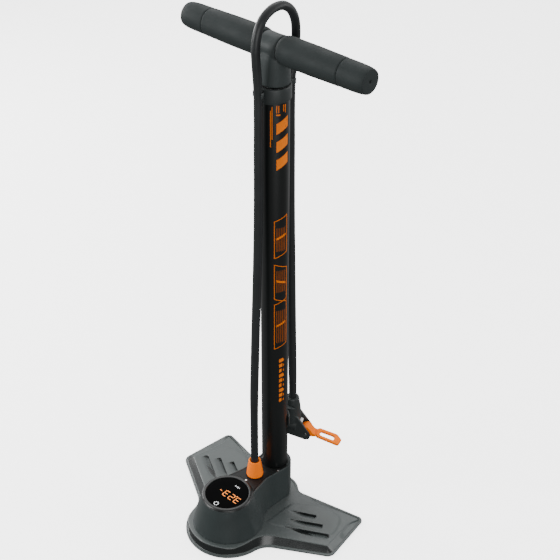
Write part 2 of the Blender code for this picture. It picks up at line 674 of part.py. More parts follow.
def make_console():
    heights = 4
    rows = []
    for k in range(heights):
        t = k / (heights - 1)
        row = []
        for foot, rim in zip(CONSOLE_FOOT, CONSOLE_RIM):
            low = stand_top(foot.y) - 1.5 * MM
            at = foot.lerp(rim, t)
            row.append((at.x, at.y, low + (rim_height(rim.y) - low) * t))
        rows.append(row)
    count = len(rows[0])
    faces = []
    for k in range(heights - 1):
        for i in range(count - 1):
            low, high = k * count + i, (k + 1) * count + i
            faces.append((low, high, high + 1, low + 1))
    mesh = bpy.data.meshes.new("console_housing")
    mesh.from_pydata([p for row in rows for p in row], [], faces)
    shell = place("console_housing", mesh, "console_shell", PUMP, (0, 0, 0), (0, 0, 0))
    solid = shell.modifiers.new("Wall", "SOLIDIFY")
    solid.thickness = CONSOLE_WALL
    solid.offset = -1
    settle(shell)
    front, back = -160 * MM, 20 * MM
    under = [[], []]
    for x, y in ((-1, front), (1, front), (1, back), (-1, back)):
        under[0].append((x * 80 * MM, y, -20 * MM))
        under[1].append((x * 80 * MM, y, stand_top(y) + GAP))
    cut(shell, loft("console_seat_tool", under, None, PUMP))
    for x, y in CONSOLE_SCREWS.values():
        bottom = stand_top(y * MM) / MM + 0.5
        post = rod("post_tool", 4.2, bottom, 34, parent=PUMP, location=(x * MM, y * MM, 0),
                   steps=SMALL_ROUND)
        unite(shell, post)
        cut(shell, rod("post_hole_tool", 1.8, 0, 28, parent=PUMP, location=(x * MM, y * MM, 0),
                       steps=SMALL_ROUND))


def make_deck():
    """The black panel between the gauge and the barrel, just inside the rim."""
    wall = CONSOLE_WALL + GAP
    outline = [p for p in CONSOLE_RIM if p.y > -76 * MM]
    half = len(outline) // 2
    outline = inset_open(outline[:half], wall) + inset_open(outline[half:], wall)
    low = [(p.x, p.y, rim_height(p.y) - 2.4 * MM) for p in outline]
    high = [(p.x, p.y, rim_height(p.y) - 0.3 * MM) for p in outline]
    deck = loft("console_deck", [low, high], "deck_black", PUMP)
    cut(deck, rod("gauge_clearance_tool", 35.0, 50, 80, parent=PUMP, location=(0, GAUGE_Y, 0)))
    cut(deck, rod("barrel_clearance_tool", 17.9, 50, 80, parent=PUMP))
    cut(deck, rod("barb_clearance_tool", 4.7, 50, 80, parent=PUMP, location=(0, HOSE_Y, 0),
                  steps=SMALL_ROUND))


def inset_open(points, amount):
    """An open run of an outline, moved sideways towards the middle line."""
    moved = []
    last = len(points) - 1
    for i, point in enumerate(points):
        along = points[min(i + 1, last)] - points[max(i - 1, 0)]
        side = Vector((-along.y, along.x)).normalized()
        if (side.x > 0) == (point.x > 0):
            side.negate()
        moved.append(point + side * amount)
    return moved


def make_gauge():
    top = GAUGE_TOP / MM
    bezel = [(28.9, top), (32.4, top), (34.4, 62.8), (27.5, 62.8), (27.5, 63.4), (28.9, 63.4)]
    turned("display_bezel", bezel, "bezel_black", PUMP, (0, GAUGE_Y, 0), steps=32)
    rod("display_lens", LENS_R / MM, 63.7, 65.1, "lens_glass", PUMP, (0, GAUGE_Y, 0), steps=32)
    rod("display_panel", 26.5, 58.6, 62.9, "deck_black", PUMP, (0, GAUGE_Y, 0))
    rod("gauge_board", 29.5, 55.6, 57.2, "board_green", PUMP, (0, GAUGE_Y, 0))
    sensor = [(0, 55.3), (4.8, 55.3), (4.8, 49), (2.0, 49), (2.0, 45), (0, 45)]
    turned("pressure_sensor", sensor, "steel", PUMP, (0, GAUGE_Y, 0), steps=SMALL_ROUND)
    route = [(GAUGE_Y, 44.7), (GAUGE_Y, 38), (GAUGE_Y + 5 * MM, 31), (-0.076, 25),
             (-0.064, 19), (-0.057, 16.2), (-0.0516, CHANNEL_Z / MM)]
    points = smooth_through([Vector((0, y, z * MM)) for y, z in route], 3)
    tube("sensor_tube", points, 1.5 * MM, "hose_black", PUMP, 0)


# ---------------------------------------------------------------- hose and its boot

def make_boot():
    boot = [(7.6, 87.5), (8.2, 87.0), (9.2, 80), (10.6, 71), (11.5, 64.5), (11.5, 62.8), (5.0, 62.8),
            (5.0, 72.7), (5.5, 72.7), (5.5, 87.5)]
    turned("hose_boot", boot, "orange_plastic", PUMP, (0, HOSE_Y, 0))
    barb = [(1.6, 72.4), (3.6, 72.4), (4.2, 70), (4.2, 68), (3.6, 66), (4.2, 64), (4.2, 30),
            (7.0, 30), (7.0, 20.7), (3.1, 20.7), (3.1, 18.7), (1.6, 18.7)]
    turned("hose_barb", barb, "brass", PUMP, (0, HOSE_Y, 0), steps=SMALL_ROUND)


def make_hose():
    route = [Vector((0, y, z)) * MM for y, z in HOSE_ROUTE]
    tube("air_hose", smooth_through(route, 2), HOSE_R, "hose_black", PUMP)


# ---------------------------------------------------------------- chuck

def bore_point(along):
    """A point on the chuck's sloping bore, this far in mm along it towards the lever."""
    return Vector((along * MM * math.cos(CHUCK_TILT), 0,
                   CHUCK_AXIS_Z - along * MM * math.sin(CHUCK_TILT)))


def on_axis(outer, swell=0.0):
    """A turned solid's profile from its outer side alone, made larger by swell mm."""
    side = [(r + swell, z) for r, z in outer]
    return [(0, outer[0][1])] + side + [(0, outer[-1][1])]


def make_chuck():
    body = rod("chuck_body", CHUCK_R / MM, BODY_FRONT, BODY_BACK, "black_plastic", CHUCK,
               bore_point(0), BORE_ROTATION)
    unite(body, turned("neck_tool", on_axis(NECK), parent=CHUCK))
    cheek = [(x * MM, z * MM) for x, z in CHEEK]
    for side in (-1, 1):
        middle = side * (CHEEK_INNER + CHEEK_OUTER) / 2
        thickness = (CHEEK_OUTER - CHEEK_INNER) / MM
        unite(body, plate("cheek_tool", [cheek], -thickness / 2, thickness / 2, parent=CHUCK,
                          location=(0, middle, 0), rotation=(math.pi / 2, 0, 0)))
    cut(body, rod("plunger_bore_tool", PLUNGER_R + 0.3, -30, 30, parent=CHUCK,
                  location=bore_point(0), rotation=BORE_ROTATION))
    cut(body, rod("air_way_tool", 2.2, 106, 160, parent=CHUCK, steps=SMALL_ROUND))
    cut(body, rod("hose_seat_tool", NECK_SEAT_R, HOSE_END_Z - 0.5, 160, parent=CHUCK,
                  steps=HIDDEN_ROUND))
    cut(body, rod("pin_hole_tool", 2.3, -15, 15, parent=CHUCK, location=(PIVOT_X, 0, PIVOT_Z),
                  rotation=(math.pi / 2, 0, 0), steps=SMALL_ROUND))
    ring("hose_ferrule", HOSE_R / MM + 0.3, FERRULE_R, HOSE_END_Z, NECK[0][1], "black_plastic",
         CHUCK, steps=HIDDEN_ROUND)
    nut = [(11.4, 0), (11.4, -6), (10.2, -7.5), (8.6, -7.5), (4.8, 0)]
    turned("chuck_nut", nut, "black_plastic", CHUCK, bore_point(BODY_FRONT - 0.3), BORE_ROTATION)
    ring("chuck_seal", 2.6, PLUNGER_R, BODY_FRONT + 0.1, -11.5, "rubber", CHUCK, bore_point(0),
         BORE_ROTATION, steps=HIDDEN_ROUND)
    rod("lever_pin", 2.0, -10.1, 10.1, "steel", CHUCK, (PIVOT_X, 0, PIVOT_Z), (math.pi / 2, 0, 0),
        steps=SMALL_ROUND)


def make_plunger():
    """A white piston that the lever's cam pushes towards the valve mouth."""
    pivot_along = (Vector((PIVOT_X, 0, PIVOT_Z)) - bore_point(0)).dot(
        (bore_point(1) - bore_point(0)).normalized())
    face = (pivot_along - CAM_R - PLUNGER_GAP) / MM
    slide = empty("plunger_slide", bore_point(0), CHUCK)
    profile = [(0, face), (PLUNGER_R - 0.8, face), (PLUNGER_R, face - 0.8), (PLUNGER_R, 6.0),
               (PLUNGER_R - 1.6, 6.0), (PLUNGER_R - 1.6, -5.0), (PLUNGER_R, -5.0),
               (PLUNGER_R, -9.1), (0, -9.1)]
    plunger = turned("chuck_plunger", profile, "white_plastic", slide, rotation=BORE_ROTATION)
    cut(plunger, rod("plunger_pin_tool", 2.0, -20, -1, parent=slide, rotation=BORE_ROTATION,
                     steps=SMALL_ROUND))
    cut(plunger, rod("plunger_cross_tool", 1.6, -3, 20, parent=slide, location=(0, 0, 0),
                     steps=SMALL_ROUND))


def cam_outline():
    """The lever's side view about its pivot: the cam, which grows as it turns, and the root."""
    facing = math.pi - CHUCK_TILT
    points = []
    for i in range(9):
        angle = facing - LEVER_TURN * i / 8
        radius = CAM_R + CAM_LIFT * i / 8
        points.append(Vector((radius * math.cos(angle), radius * math.sin(angle))))
    tip = facing - LEVER_TURN - math.radians(8)
    points.append(direction(tip) * (CAM_R + CAM_LIFT - 0.2 * MM))
    return points


def in_lever_plane(along, up):
    """A point of the lever's drooping arm, in mm, about its pivot."""
    cos, sin = math.cos(LEVER_DROOP), math.sin(LEVER_DROOP)
    return Vector((along * cos + up * sin, up * cos - along * sin)) * MM


def make_lever():
    hinge = empty("lever_hinge", (PIVOT_X, 0, PIVOT_Z), CHUCK)
    root = [in_lever_plane(9.6, 3.0), in_lever_plane(14.5, 2.6), in_lever_plane(14.5, -0.4),
            in_lever_plane(7.5, -3.4), in_lever_plane(3.0, -6.4), in_lever_plane(-3.5, -6.6),
            in_lever_plane(-7.4, -3.0)]
    side_view = list(reversed(cam_outline() + root))
    width = 2 * (CHEEK_INNER - GAP) / MM
    lever = plate("chuck_lever", [side_view], -width / 2, width / 2, "orange_plastic", hinge,
                  rotation=(math.pi / 2, 0, 0))
    rotation = (0, LEVER_DROOP, 0)
    outlines = [[(x * MM, y * MM) for x, y in points] for points in (LEVER_LOOP, LEVER_SLOT)]
    arm = plate("lever_arm_tool", outlines, *LEVER_ARM, parent=hinge, rotation=rotation)
    unite(lever, arm)
    cut(lever, rod("lever_bore_tool", 2.3, -15, 15, parent=hinge, rotation=(math.pi / 2, 0, 0),
                   steps=SMALL_ROUND))


def make_holder():
    """The saddle on the back of the barrel, with a shallow cup for the front of the chuck's neck."""
    centre_y = CHUCK_Y / MM
    low, high = HOLDER_LEVELS
    holder = ring("chuck_holder", 17.8, 20.4, low, high, "black_plastic", PUMP)
    cut(holder, block("saddle_tool", (-30, -30, 100), (30, 8, 160), parent=PUMP))
    cup = rod("holder_cup_tool", HOLDER_CUP_R, low, high, parent=PUMP, location=(0, CHUCK_Y, 0))
    unite(holder, cup)
    cut(holder, turned("neck_room_tool", on_axis(NECK, 0.4), parent=PUMP,
                       location=(0, CHUCK_Y, 0)))
    cut(holder, block("holder_mouth_tool", (-30, centre_y - HOLDER_MOUTH, 100),
                      (30, centre_y + 20, 160), parent=PUMP))


# ---------------------------------------------------------------- piston, rod and handle

def make_piston():
    head = [(0, 64), (4.1, 64), (4.1, 54.3), (15.0, 54.3), (15.0, 50), (13.2, 50), (13.2, 45.5),
            (15.0, 45.5), (15.0, 41.3), (3.0, 41.3), (3.0, 33), (0, 33)]
    turned("piston_head", head, "black_plastic", HANDLE, steps=HIDDEN_ROUND)
    o_ring("piston_guide_ring", 14.4, 0.9, 47.75, HANDLE)
    cup = [(12.4, 41.0), (15.3, 38.4), (15.3, 36.2), (14.4, 36.2), (13.6, 38.6), (3.3, 38.6),
           (3.3, 41.0)]
    turned("piston_cup_seal", cup, "rubber", HANDLE, steps=HIDDEN_ROUND)
    ring("piston_washer", 3.3, 11.0, 37.1, 38.3, "steel", HANDLE, steps=HIDDEN_ROUND)
    ring("piston_nut", 3.8, 6.2, 33.2, 36.8, "steel", HANDLE, steps=6)


def make_rod():
    ring("piston_rod", 4.4, ROD_R / MM, 54.6, 658, "steel", HANDLE)
    ring("rod_insert", 6.3, 8.6, 634, 652, "brass", HANDLE, steps=HIDDEN_ROUND)


def make_handle():
    bar = [(0, 124), (11.0, 124), (11.0, 12), (17.0, 12), (17.0, -12), (11.0, -12), (11.0, -124),
           (0, -124)]
    core = turned("handle_core", bar, "handle_grey", HANDLE, (0, 0, HANDLE_Z), ALONG_X)
    stem = [(0, 668), (11.6, 668), (11.6, 654.6), (17.6, 654.6), (18.2, 640), (18.2, 631),
            (17.6, STEM_BOTTOM / MM), (0, STEM_BOTTOM / MM)]
    unite(core, turned("stem_tool", stem, parent=HANDLE))
    cut(core, rod("insert_seat_tool", 8.9, 600, 652.3, parent=HANDLE, steps=HIDDEN_ROUND))
    cut(core, rod("rod_seat_tool", 6.3, 600, 659, parent=HANDLE, steps=HIDDEN_ROUND))
    grip = [(14.6, 12.4), (16.4, 14.5), (16.9, 22), (16.7, 60), (15.9, 98.2), (15.4, 99.2),
            (11.3, 99.2), (11.3, 12.4)]
    half = HANDLE_HALF / MM
    end = [(15.4, 99.6), (15.8, 100.6), (15.6, 118), (15.0, 128), (14.0, 132.2), (12.6, half),
           (1.6, half), (1.6, 126), (11.3, 126), (11.3, 99.6)]
    for name, rotation in (("right", ALONG_X), ("left", ALONG_MINUS_X)):
        place_at = (0, 0, HANDLE_Z)
        turned("handle_grip_" + name, list(reversed(grip)), "handle_grey", HANDLE, place_at,
               rotation)
        turned("handle_end_" + name, list(reversed(end)), "handle_grey", HANDLE, place_at,
               rotation)


# ---------------------------------------------------------------- build

clear_scene()
PARTS = new_collection("floor_bike_pump")
CUTTERS = new_collection("cutters")
PUMP = empty("pump_origin", (0, BARREL_Y, 0))
HANDLE = empty("handle_slide", (0, 0, 0), PUMP)
CHUCK = empty("chuck_frame", (0, CHUCK_Y, 0), PUMP, CHUCK_TURN)

make_stand()
make_stand_fittings()
make_batteries()
make_casting()
make_valve()
make_barrel()
make_collar()
make_console()
make_deck()
make_gauge()
make_boot()
make_hose()
make_chuck()
make_plunger()
make_lever()
make_holder()
make_piston()
make_rod()
make_handle()
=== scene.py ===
"""Looks of the floor bike pump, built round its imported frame.

Lengths are in millimetres from the barrel's axis on the floor. put() turns them into the frame's
metres. The camera, the floor and the lights are in metres.
"""

import math

import bmesh
import bpy
from mathutils import Matrix, Vector
from mathutils.geometry import delaunay_2d_cdt


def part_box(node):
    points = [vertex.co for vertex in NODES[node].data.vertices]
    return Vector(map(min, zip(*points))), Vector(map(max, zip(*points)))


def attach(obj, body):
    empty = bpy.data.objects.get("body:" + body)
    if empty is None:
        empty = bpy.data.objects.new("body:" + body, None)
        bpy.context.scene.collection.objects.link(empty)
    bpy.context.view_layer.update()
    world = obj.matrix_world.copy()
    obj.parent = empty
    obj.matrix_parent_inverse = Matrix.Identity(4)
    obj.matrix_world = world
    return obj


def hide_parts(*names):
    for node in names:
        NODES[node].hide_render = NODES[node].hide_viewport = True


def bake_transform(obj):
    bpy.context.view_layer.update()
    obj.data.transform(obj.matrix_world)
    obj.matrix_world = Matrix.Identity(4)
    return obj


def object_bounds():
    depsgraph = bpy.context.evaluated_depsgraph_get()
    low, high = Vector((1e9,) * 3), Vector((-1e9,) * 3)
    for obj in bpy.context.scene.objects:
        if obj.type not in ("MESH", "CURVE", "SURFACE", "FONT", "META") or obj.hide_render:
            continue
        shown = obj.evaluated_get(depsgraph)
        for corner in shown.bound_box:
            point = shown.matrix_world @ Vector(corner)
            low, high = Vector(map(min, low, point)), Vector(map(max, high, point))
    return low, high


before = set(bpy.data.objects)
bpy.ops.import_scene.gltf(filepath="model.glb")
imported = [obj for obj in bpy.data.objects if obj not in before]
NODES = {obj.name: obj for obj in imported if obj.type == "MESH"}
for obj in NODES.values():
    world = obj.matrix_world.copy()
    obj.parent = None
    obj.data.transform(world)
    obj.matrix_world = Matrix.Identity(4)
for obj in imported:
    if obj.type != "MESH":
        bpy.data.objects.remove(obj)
CAD_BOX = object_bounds()

MM = 0.001
TURN = 2 * math.pi
WELD = 0.00001                      # points closer than this, in metres, are one
barrel_low, barrel_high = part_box("barrel_tube")
BARREL_Y = (barrel_low.y + barrel_high.y) / 2
BARREL_R = (barrel_high.x - barrel_low.x) / 2 / MM
FLOOR_Z = CAD_BOX[0].z

# Camera: its lens and distance are in mm and metres
AZIMUTH, ELEVATION = math.radians(42.54), math.radians(34.83)
DISTANCE, LENS, SENSOR = 1.50616, 78.23, 36
TARGET_Z = 0.35872
SHIFT = (0.0095, 0.0030)

# Light: the sky's strength by direction, its range, and the area lights
SKY_BACK, SKY_UP, SKY_SIDES = 0.72, 0.7, 0.5
SKY_DARK, SKY_BRIGHT = 0.22, 1.35
LIGHTS = [                          # name, right in the view, towards the camera, up, size, power
    ("left", -1.7, 0.4, 0.9, 0.9, 26.0),
    ("far_left", -1.25, -1.15, 0.85, 0.9, 26.0),
    ("right", 1.8, -0.1, 0.8, 0.9, 9.0),
    ("top", 0.0, -1.4, 2.0, 1.4, 16.0),
    ("front", 0.3, 1.9, 0.8, 1.4, 26.0),
]
LIGHTS_AIM = 0.3                    # the lights' shared target is this high above the floor
FLOOR_HALF, FLOOR_GLOW = 6.0, 3.0

# Stand
NOSE_Y, NOSE_R = -92.0, 58.3
HEEL_R, HEEL_FILLET, NOSE_FILLET = 33.5, 12.0, 30.0
FRONT_CORNER, BACK_CORNER = Vector((139.7, -41.0)), Vector((128.3, 41.4))
FRONT_CORNER_R, BACK_CORNER_R = 12.0, 8.0
FRONT_ANGLE, BACK_ANGLE = math.radians(30.5), math.radians(192.0)
OUTLINE_INSET = 0.16                # keeps the skin inside the CAD's box
FLANGE_BOTTOM, FLANGE_TOP, FLANGE_WIDTH, FLANGE_ROUND = 1.0, 3.6, 3.4, 0.7
NOSE_LEAN, TOE_LEAN, HEEL_LEAN = 4.6, 8.0, 6.0
HEEL_TOP, TOP_SLOPE, SLOPE_START = 5.0, 0.073, 27.0
WALL_SHADE_EDGE = 1.0                     # the painted shade on the front wall, a darker copy of the stand's paint, ends this far below the top
WALL_SHADE_END = -33.0                    # and in front of this line
PANEL = [(40, -58), (50, -56), (72, -43), (94, -31), (112, -21), (117, -13), (115, -2), (111, 8),
         (105, 17), (97, 20), (86, 20.5), (72, 18), (63.7, 13), (48.6, -1), (40, -10)]
PANEL_RISE = 0.8
RIBS = [((48, -19), (78.5, -2)), ((53, -36), (97, -9.5)), ((62, -49), (115, -18))]
RIB_DEPTH, RIB_RUN, RISER = 3.4, 10.0, 0.45
RISER_SLOPE = 0.8                   # a face of the toe's top steeper than this is part of a riser, which takes the painted shade
TOE_GRID, PRINT_GRID = 1.7, 1.6     # spacing of the points on the toes and in the print

# Console and gauge
GAUGE_Y, GAUGE_TOP = -93.5, 65.5
RIM_TOP, RIM_FALL, RIM_FALL_RUN = 62.5, 2.5, 60.0
DECK_SCREWS = [(18.0, -13.0, 60.6), (-18.0, -13.0, 60.6), (0.0, -57.0, 62.0)]
SEGMENTS = {                        # a to g of a seven-segment digit, as (x, y, upright) in digits
    "a": (0.0, 1.0, False), "b": (0.5, 0.5, True), "c": (0.5, -0.5, True), "d": (0.0, -1.0, False),
    "e": (-0.5, -0.5, True), "f": (-0.5, 0.5, True), "g": (0.0, 0.0, False),
}
DIGITS = {"2": "abged", "3": "abgcd"}
READING = "323"
DIGIT_PLACES = [(19.8, -95.2), (9.9, -95.2), (0.0, -95.2)]
POINT_PLACE, DASH_PLACE = (14.9, -89.8), (-9.4, -95.2)
DIGIT_HEIGHT, DIGIT_WIDTH, STROKE = 4.9, 3.1, 0.9
MARK_BOTTOM, MARK_TOP = 64.85 * MM, 64.98 * MM

# Barrel, its print and the collar
BARREL_BORE_R, BARREL_BOTTOM, BARREL_TOP = 15.5, 20.3, 622.0
PRINT_ANGLE = math.radians(-30.46)  # the print's middle line, seen from above
PRINT_LIFT = 0.05
COLLAR_DIP = 2.0
CLIP_Y, CLIP_OPENING = 27.2, math.radians(78)
CLIP_OUTER_R, CLIP_INNER_R = 6.9, 5.5

# Handle
HANDLE_Z = 672.0
STEM = [(629.7, 17.6), (630.2, 18.1), (634, 18.2), (640, 18.1), (648, 17.9), (654, 17.6),
        (660, 17.0), (668, 15.6)]   # (height, radius)
STEM_FLAT = 1.15                    # the flats under the hose are this deep

# Valve spring
SPRING_TURNS, SPRING_STEPS, COIL_R, WIRE_R = 4, 24, 3.5, 0.38
SPRING_BOTTOM, SPRING_TOP = 15.8, 20.7

# Hose
HOSE_R, HOSE_SWELL = 5.18, 0.35     # the hose is fuller along its free run than in its clips
HOSE_ROUTE = [                      # (y, z) of the hose's centre line, from the boot to the chuck
    (-39.7, 73.0), (-39.8, 87.0), (-39.8, 123.0), (-39.3, 192.0), (-37.6, 240.0), (-35.2, 300.0),
    (-32.0, 370.0), (-29.3, 440.0), (-27.9, 500.0), (-27.4, 560.0), (-27.2, 600.0), (-27.2, 626.0),
    (-28.6, 646.0), (-30.1, 664.0), (-30.4, 679.0), (-27.2, 695.0), (-18.8, 708.0), (-7.0, 714.6),
    (3.7, 716.2), (14.6, 714.2), (25.4, 706.6), (32.6, 694.0), (34.9, 678.0), (33.6, 658.0),
    (30.2, 640.0), (27.6, 624.0), (27.2, 604.0), (27.2, 546.0), (28.1, 464.0), (30.7, 360.0),
    (33.3, 265.0), (35.3, 195.0), (36.0, 160.0), (36.0, 140.5),
]


# ---------------------------------------------------------------- helpers: placing and meshes

def put(x, y, z):
    return Vector((x * MM, BARREL_Y + y * MM, z * MM))


def mesh_object(name, points, faces, material, sharp=35.0):
    """A mesh from points in metres, welded, facing out and shaded smooth up to the sharp angle."""
    mesh = bpy.data.meshes.new(name)
    mesh.from_pydata(points, [], faces)
    shape = bmesh.new()
    shape.from_mesh(mesh)
    bmesh.ops.remove_doubles(shape, verts=shape.verts, dist=WELD)
    bmesh.ops.recalc_face_normals(shape, faces=shape.faces)
    shape.to_mesh(mesh)
    shape.free()
    mesh.shade_smooth()
    mesh.set_sharp_from_angle(angle=math.radians(sharp))
    mesh.materials.append(material)
    obj = bpy.data.objects.new(name, mesh)
    bpy.context.scene.collection.objects.link(obj)
    return obj


def rings_to_mesh(name, rings, material, caps=True, sharp=35.0, closed=True):
    """A skin over rings of equal length, closed round each ring, with flat ends unless caps is off."""
    count = len(rings[0])
    faces = []
    for level in range(len(rings) - 1):
        low, high = level * count, (level + 1) * count
        for i in range(count if closed else count - 1):
            j = (i + 1) % count
            faces.append((low + i, low + j, high + j, high + i))
    if caps:
        faces.append(tuple(reversed(range(count))))
        faces.append(tuple(range((len(rings) - 1) * count, len(rings) * count)))
    return mesh_object(name, [p for ring in rings for p in ring], faces, material, sharp)


def rounded_profile(corners, steps=4):
    """(radius, height, rounding) corners in mm, with each corner rounded by an arc-like curve."""
    points = []
    count = len(corners)
    for i, (r, z, rounding) in enumerate(corners):
        here = Vector((r, z))
        if rounding <= 0 or i in (0, count - 1):
            points.append(here)
            continue
        before = Vector(corners[i - 1][:2]) - here
        after = Vector(corners[i + 1][:2]) - here
        reach = min(rounding, before.length * 0.49, after.length * 0.49)
        start, end = here + before.normalized() * reach, here + after.normalized() * reach
        for k in range(steps + 1):
            t = k / steps
            points.append(start * (1 - t) ** 2 + here * 2 * t * (1 - t) + end * t * t)
    return points


def turned(name, corners, material, axis, steps=72, sharp=35.0):
    """A rounded profile turned about an axis matrix, whose Z is the axis."""
    profile = rounded_profile(corners)
    rings = []
    for r, z in profile:
        ring = []
        for k in range(steps):
            angle = TURN * k / steps
            ring.append(axis @ Vector((r * MM * math.cos(angle), r * MM * math.sin(angle), z * MM)))
        rings.append(ring)
    return rings_to_mesh(name, rings, material, caps=False, sharp=sharp)


def upright(x, y, z=0.0):
    return Matrix.Translation(put(x, y, z))


def frame_at(point, z_axis, x_axis):
    """A matrix at a point in metres with the given Z axis and nearly the given X axis."""
    z = z_axis.normalized()
    y = z.cross(x_axis).normalized()
    x = y.cross(z)
    return Matrix.Translation(point) @ Matrix((x, y, z)).transposed().to_4x4()


def smooth_through(points, steps):
    """A Catmull-Rom curve through points, with this many steps between neighbours."""
    padded = [points[0] * 2 - points[1]] + points + [points[-1] * 2 - points[-2]]
    curve = [points[0]]
    for i in range(1, len(padded) - 2):
        a, b, c, d = padded[i - 1:i + 3]
        for k in range(1, steps + 1):
            t = k / steps
            curve.append((b * 2 + (c - a) * t + (a * 2 - b * 5 + c * 4 - d) * t * t
                          + (b * 3 - a - c * 3 + d) * t * t * t) / 2)
    return curve


def sweep(name, path, radius_at, material, sides=24, caps=True):
    """A round tube along points in metres; radius_at gives its radius in metres at each index."""
    rings = []
    side = Vector((1, 0, 0))
    for i, point in enumerate(path):
        along = (path[min(i + 1, len(path) - 1)] - path[max(i - 1, 0)]).normalized()
        side = (side - along * side.dot(along)).normalized()
        across = along.cross(side)
        radius = radius_at(i)
        ring = []
        for k in range(sides):
            angle = TURN * k / sides
            ring.append(point + (side * math.cos(angle) + across * math.sin(angle)) * radius)
        rings.append(ring)
    return rings_to_mesh(name, rings, material, caps=caps)


def smooth_step(value, low, high):
    t = min(1.0, max(0.0, (value - low) / (high - low)))
    return t * t * (3 - 2 * t)


def add(obj, body, *nodes):
    """The piece rides on a body and stands for these CAD nodes."""
    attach(obj, body)
    if nodes:
        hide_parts(*nodes)
    return obj


def keep(node, material, voxel=0.0, relax=0, bevel=0.0):
    """A CAD node stays, with its material and, where asked, softer edges."""
    obj = NODES[node]
    obj.data.materials.clear()
    obj.data.materials.append(material)
    if voxel or bevel:
        weld = obj.modifiers.new("Weld", "WELD")
        weld.merge_threshold = WELD
    if voxel:
        remesh = obj.modifiers.new("Skin", "REMESH")
        remesh.mode = "VOXEL"
        remesh.voxel_size = voxel * MM
        remesh.use_smooth_shade = True
        relaxed = obj.modifiers.new("Relax", "SMOOTH")
        relaxed.factor = 0.5
        relaxed.iterations = relax
    if bevel:
        rounded = obj.modifiers.new("Edges", "BEVEL")
        rounded.width = bevel * MM
        rounded.segments = 3
        rounded.limit_method = "ANGLE"
        rounded.angle_limit = math.radians(30)
        rounded.harden_normals = True
        obj.data.shade_smooth()
    return obj


# ---------------------------------------------------------------- helpers: materials

def moulded(name, colour, roughness, grain=0.0, grain_scale=900.0, mottle=0.12, metallic=0.0,
            specular=0.5, streaks=0.0):
    """A surface with slow colour variation, uneven roughness and a fine moulded or sprayed grain.

    grain is the bump's height in mm, and streaks stretch the variation along Z, as on drawn metal.
    """
    material = bpy.data.materials.new(name)
    material.use_nodes = True
    tree = material.node_tree
    nodes, links = tree.nodes, tree.links
    shader = nodes["Principled BSDF"]
    shader.inputs["Metallic"].default_value = metallic
    shader.inputs["Specular IOR Level"].default_value = specular
    place = nodes.new("ShaderNodeTexCoord")
    stretch = nodes.new("ShaderNodeMapping")
    stretch.inputs["Scale"].default_value = (1, 1, 1 - streaks)
    links.new(place.outputs["Object"], stretch.inputs["Vector"])

    def noise(scale, detail, rough=0.5):
        texture = nodes.new("ShaderNodeTexNoise")
        texture.inputs["Scale"].default_value = scale
        texture.inputs["Detail"].default_value = detail
        texture.inputs["Roughness"].default_value = rough
        links.new(stretch.outputs["Vector"], texture.inputs["Vector"])
        return texture.outputs["Fac"]

    def ranged(source, low, high):
        span = nodes.new("ShaderNodeMapRange")
        span.inputs["From Min"].default_value = 0.3
        span.inputs["From Max"].default_value = 0.7
        span.inputs["To Min"].default_value = low
        span.inputs["To Max"].default_value = high
        links.new(source, span.inputs["Value"])
        return span.outputs["Result"]

    ramp = nodes.new("ShaderNodeMix")
    ramp.data_type = "RGBA"
    dark = [c * (1 - mottle) for c in colour]
    light = [min(1.0, c * (1 + mottle)) for c in colour]
    ramp.inputs["A"].default_value = (*dark, 1)
    ramp.inputs["B"].default_value = (*light, 1)
    links.new(ranged(noise(28.0, 5.0), 0.0, 1.0), ramp.inputs["Factor"])
    links.new(ramp.outputs["Result"], shader.inputs["Base Color"])
    links.new(ranged(noise(60.0, 6.0), roughness * 0.88, min(1.0, roughness * 1.14)),
              shader.inputs["Roughness"])
    if grain:
        fine = nodes.new("ShaderNodeTexNoise")
        fine.inputs["Scale"].default_value = grain_scale
        fine.inputs["Detail"].default_value = 3.0
        links.new(place.outputs["Object"], fine.inputs["Vector"])
        bump = nodes.new("ShaderNodeBump")
        bump.inputs["Strength"].default_value = 0.6
        bump.inputs["Distance"].default_value = grain * MM
        links.new(fine.outputs["Fac"], bump.inputs["Height"])
        links.new(bump.outputs["Normal"], shader.inputs["Normal"])
    return material


def glowing(name, colour, strength):
    """A lit display segment, slightly uneven along its length."""
    material = moulded(name, colour, 0.4, mottle=0.05)
    shader = material.node_tree.nodes["Principled BSDF"]
    source = shader.inputs["Base Color"].links[0].from_socket
    material.node_tree.links.new(source, shader.inputs["Emission Color"])
    shader.inputs["Emission Strength"].default_value = strength
    return material


STAND_PAINT = moulded("stand_paint", (0.056, 0.066, 0.065), 0.36, 0.03, 1100, 0.05, specular=0.42)
# a darker copy of the stand's paint for the camera-facing front wall and the rib risers: painted shade
STAND_PAINT_SHADED = moulded("stand_wall_painted_shade", (0.008, 0.010, 0.010), 0.26, 0.02, 1100, 0.05,
                     specular=0.5)
CONSOLE_SHELL = moulded("console_shell", (0.024, 0.031, 0.031), 0.34, 0.02, 1300, 0.08,
                        specular=0.4)
DECK = moulded("deck_black", (0.010, 0.011, 0.011), 0.40, 0.03, 1400, 0.15, specular=0.15)
BEZEL = moulded("bezel_black", (0.008, 0.009, 0.009), 0.30, 0.015, 1500, 0.1, specular=0.35)
SCREEN = moulded("display_screen", (0.0006, 0.0006, 0.0007), 0.12, 0.0, 900, 0.2, specular=0.01)
BARREL_COAT = moulded("barrel_coat", (0.0045, 0.0055, 0.0055), 0.34, 0.012, 1500, 0.12,
                      specular=0.4, streaks=0.9)
PRINT_ORANGE = moulded("print_orange", (0.80, 0.175, 0.002), 0.5, 0.01, 900, 0.07, specular=0.1)
PRINT_DIM = moulded("print_orange_dim", (0.36, 0.085, 0.003), 0.5, 0.01, 900, 0.12, specular=0.1)
TRIM = moulded("black_trim", (0.025, 0.030, 0.030), 0.46, 0.05, 1000, 0.1, specular=0.35)
HANDLE_GRIP = moulded("handle_grip", (0.021, 0.026, 0.026), 0.58, 0.08, 1000, 0.07, specular=0.13)
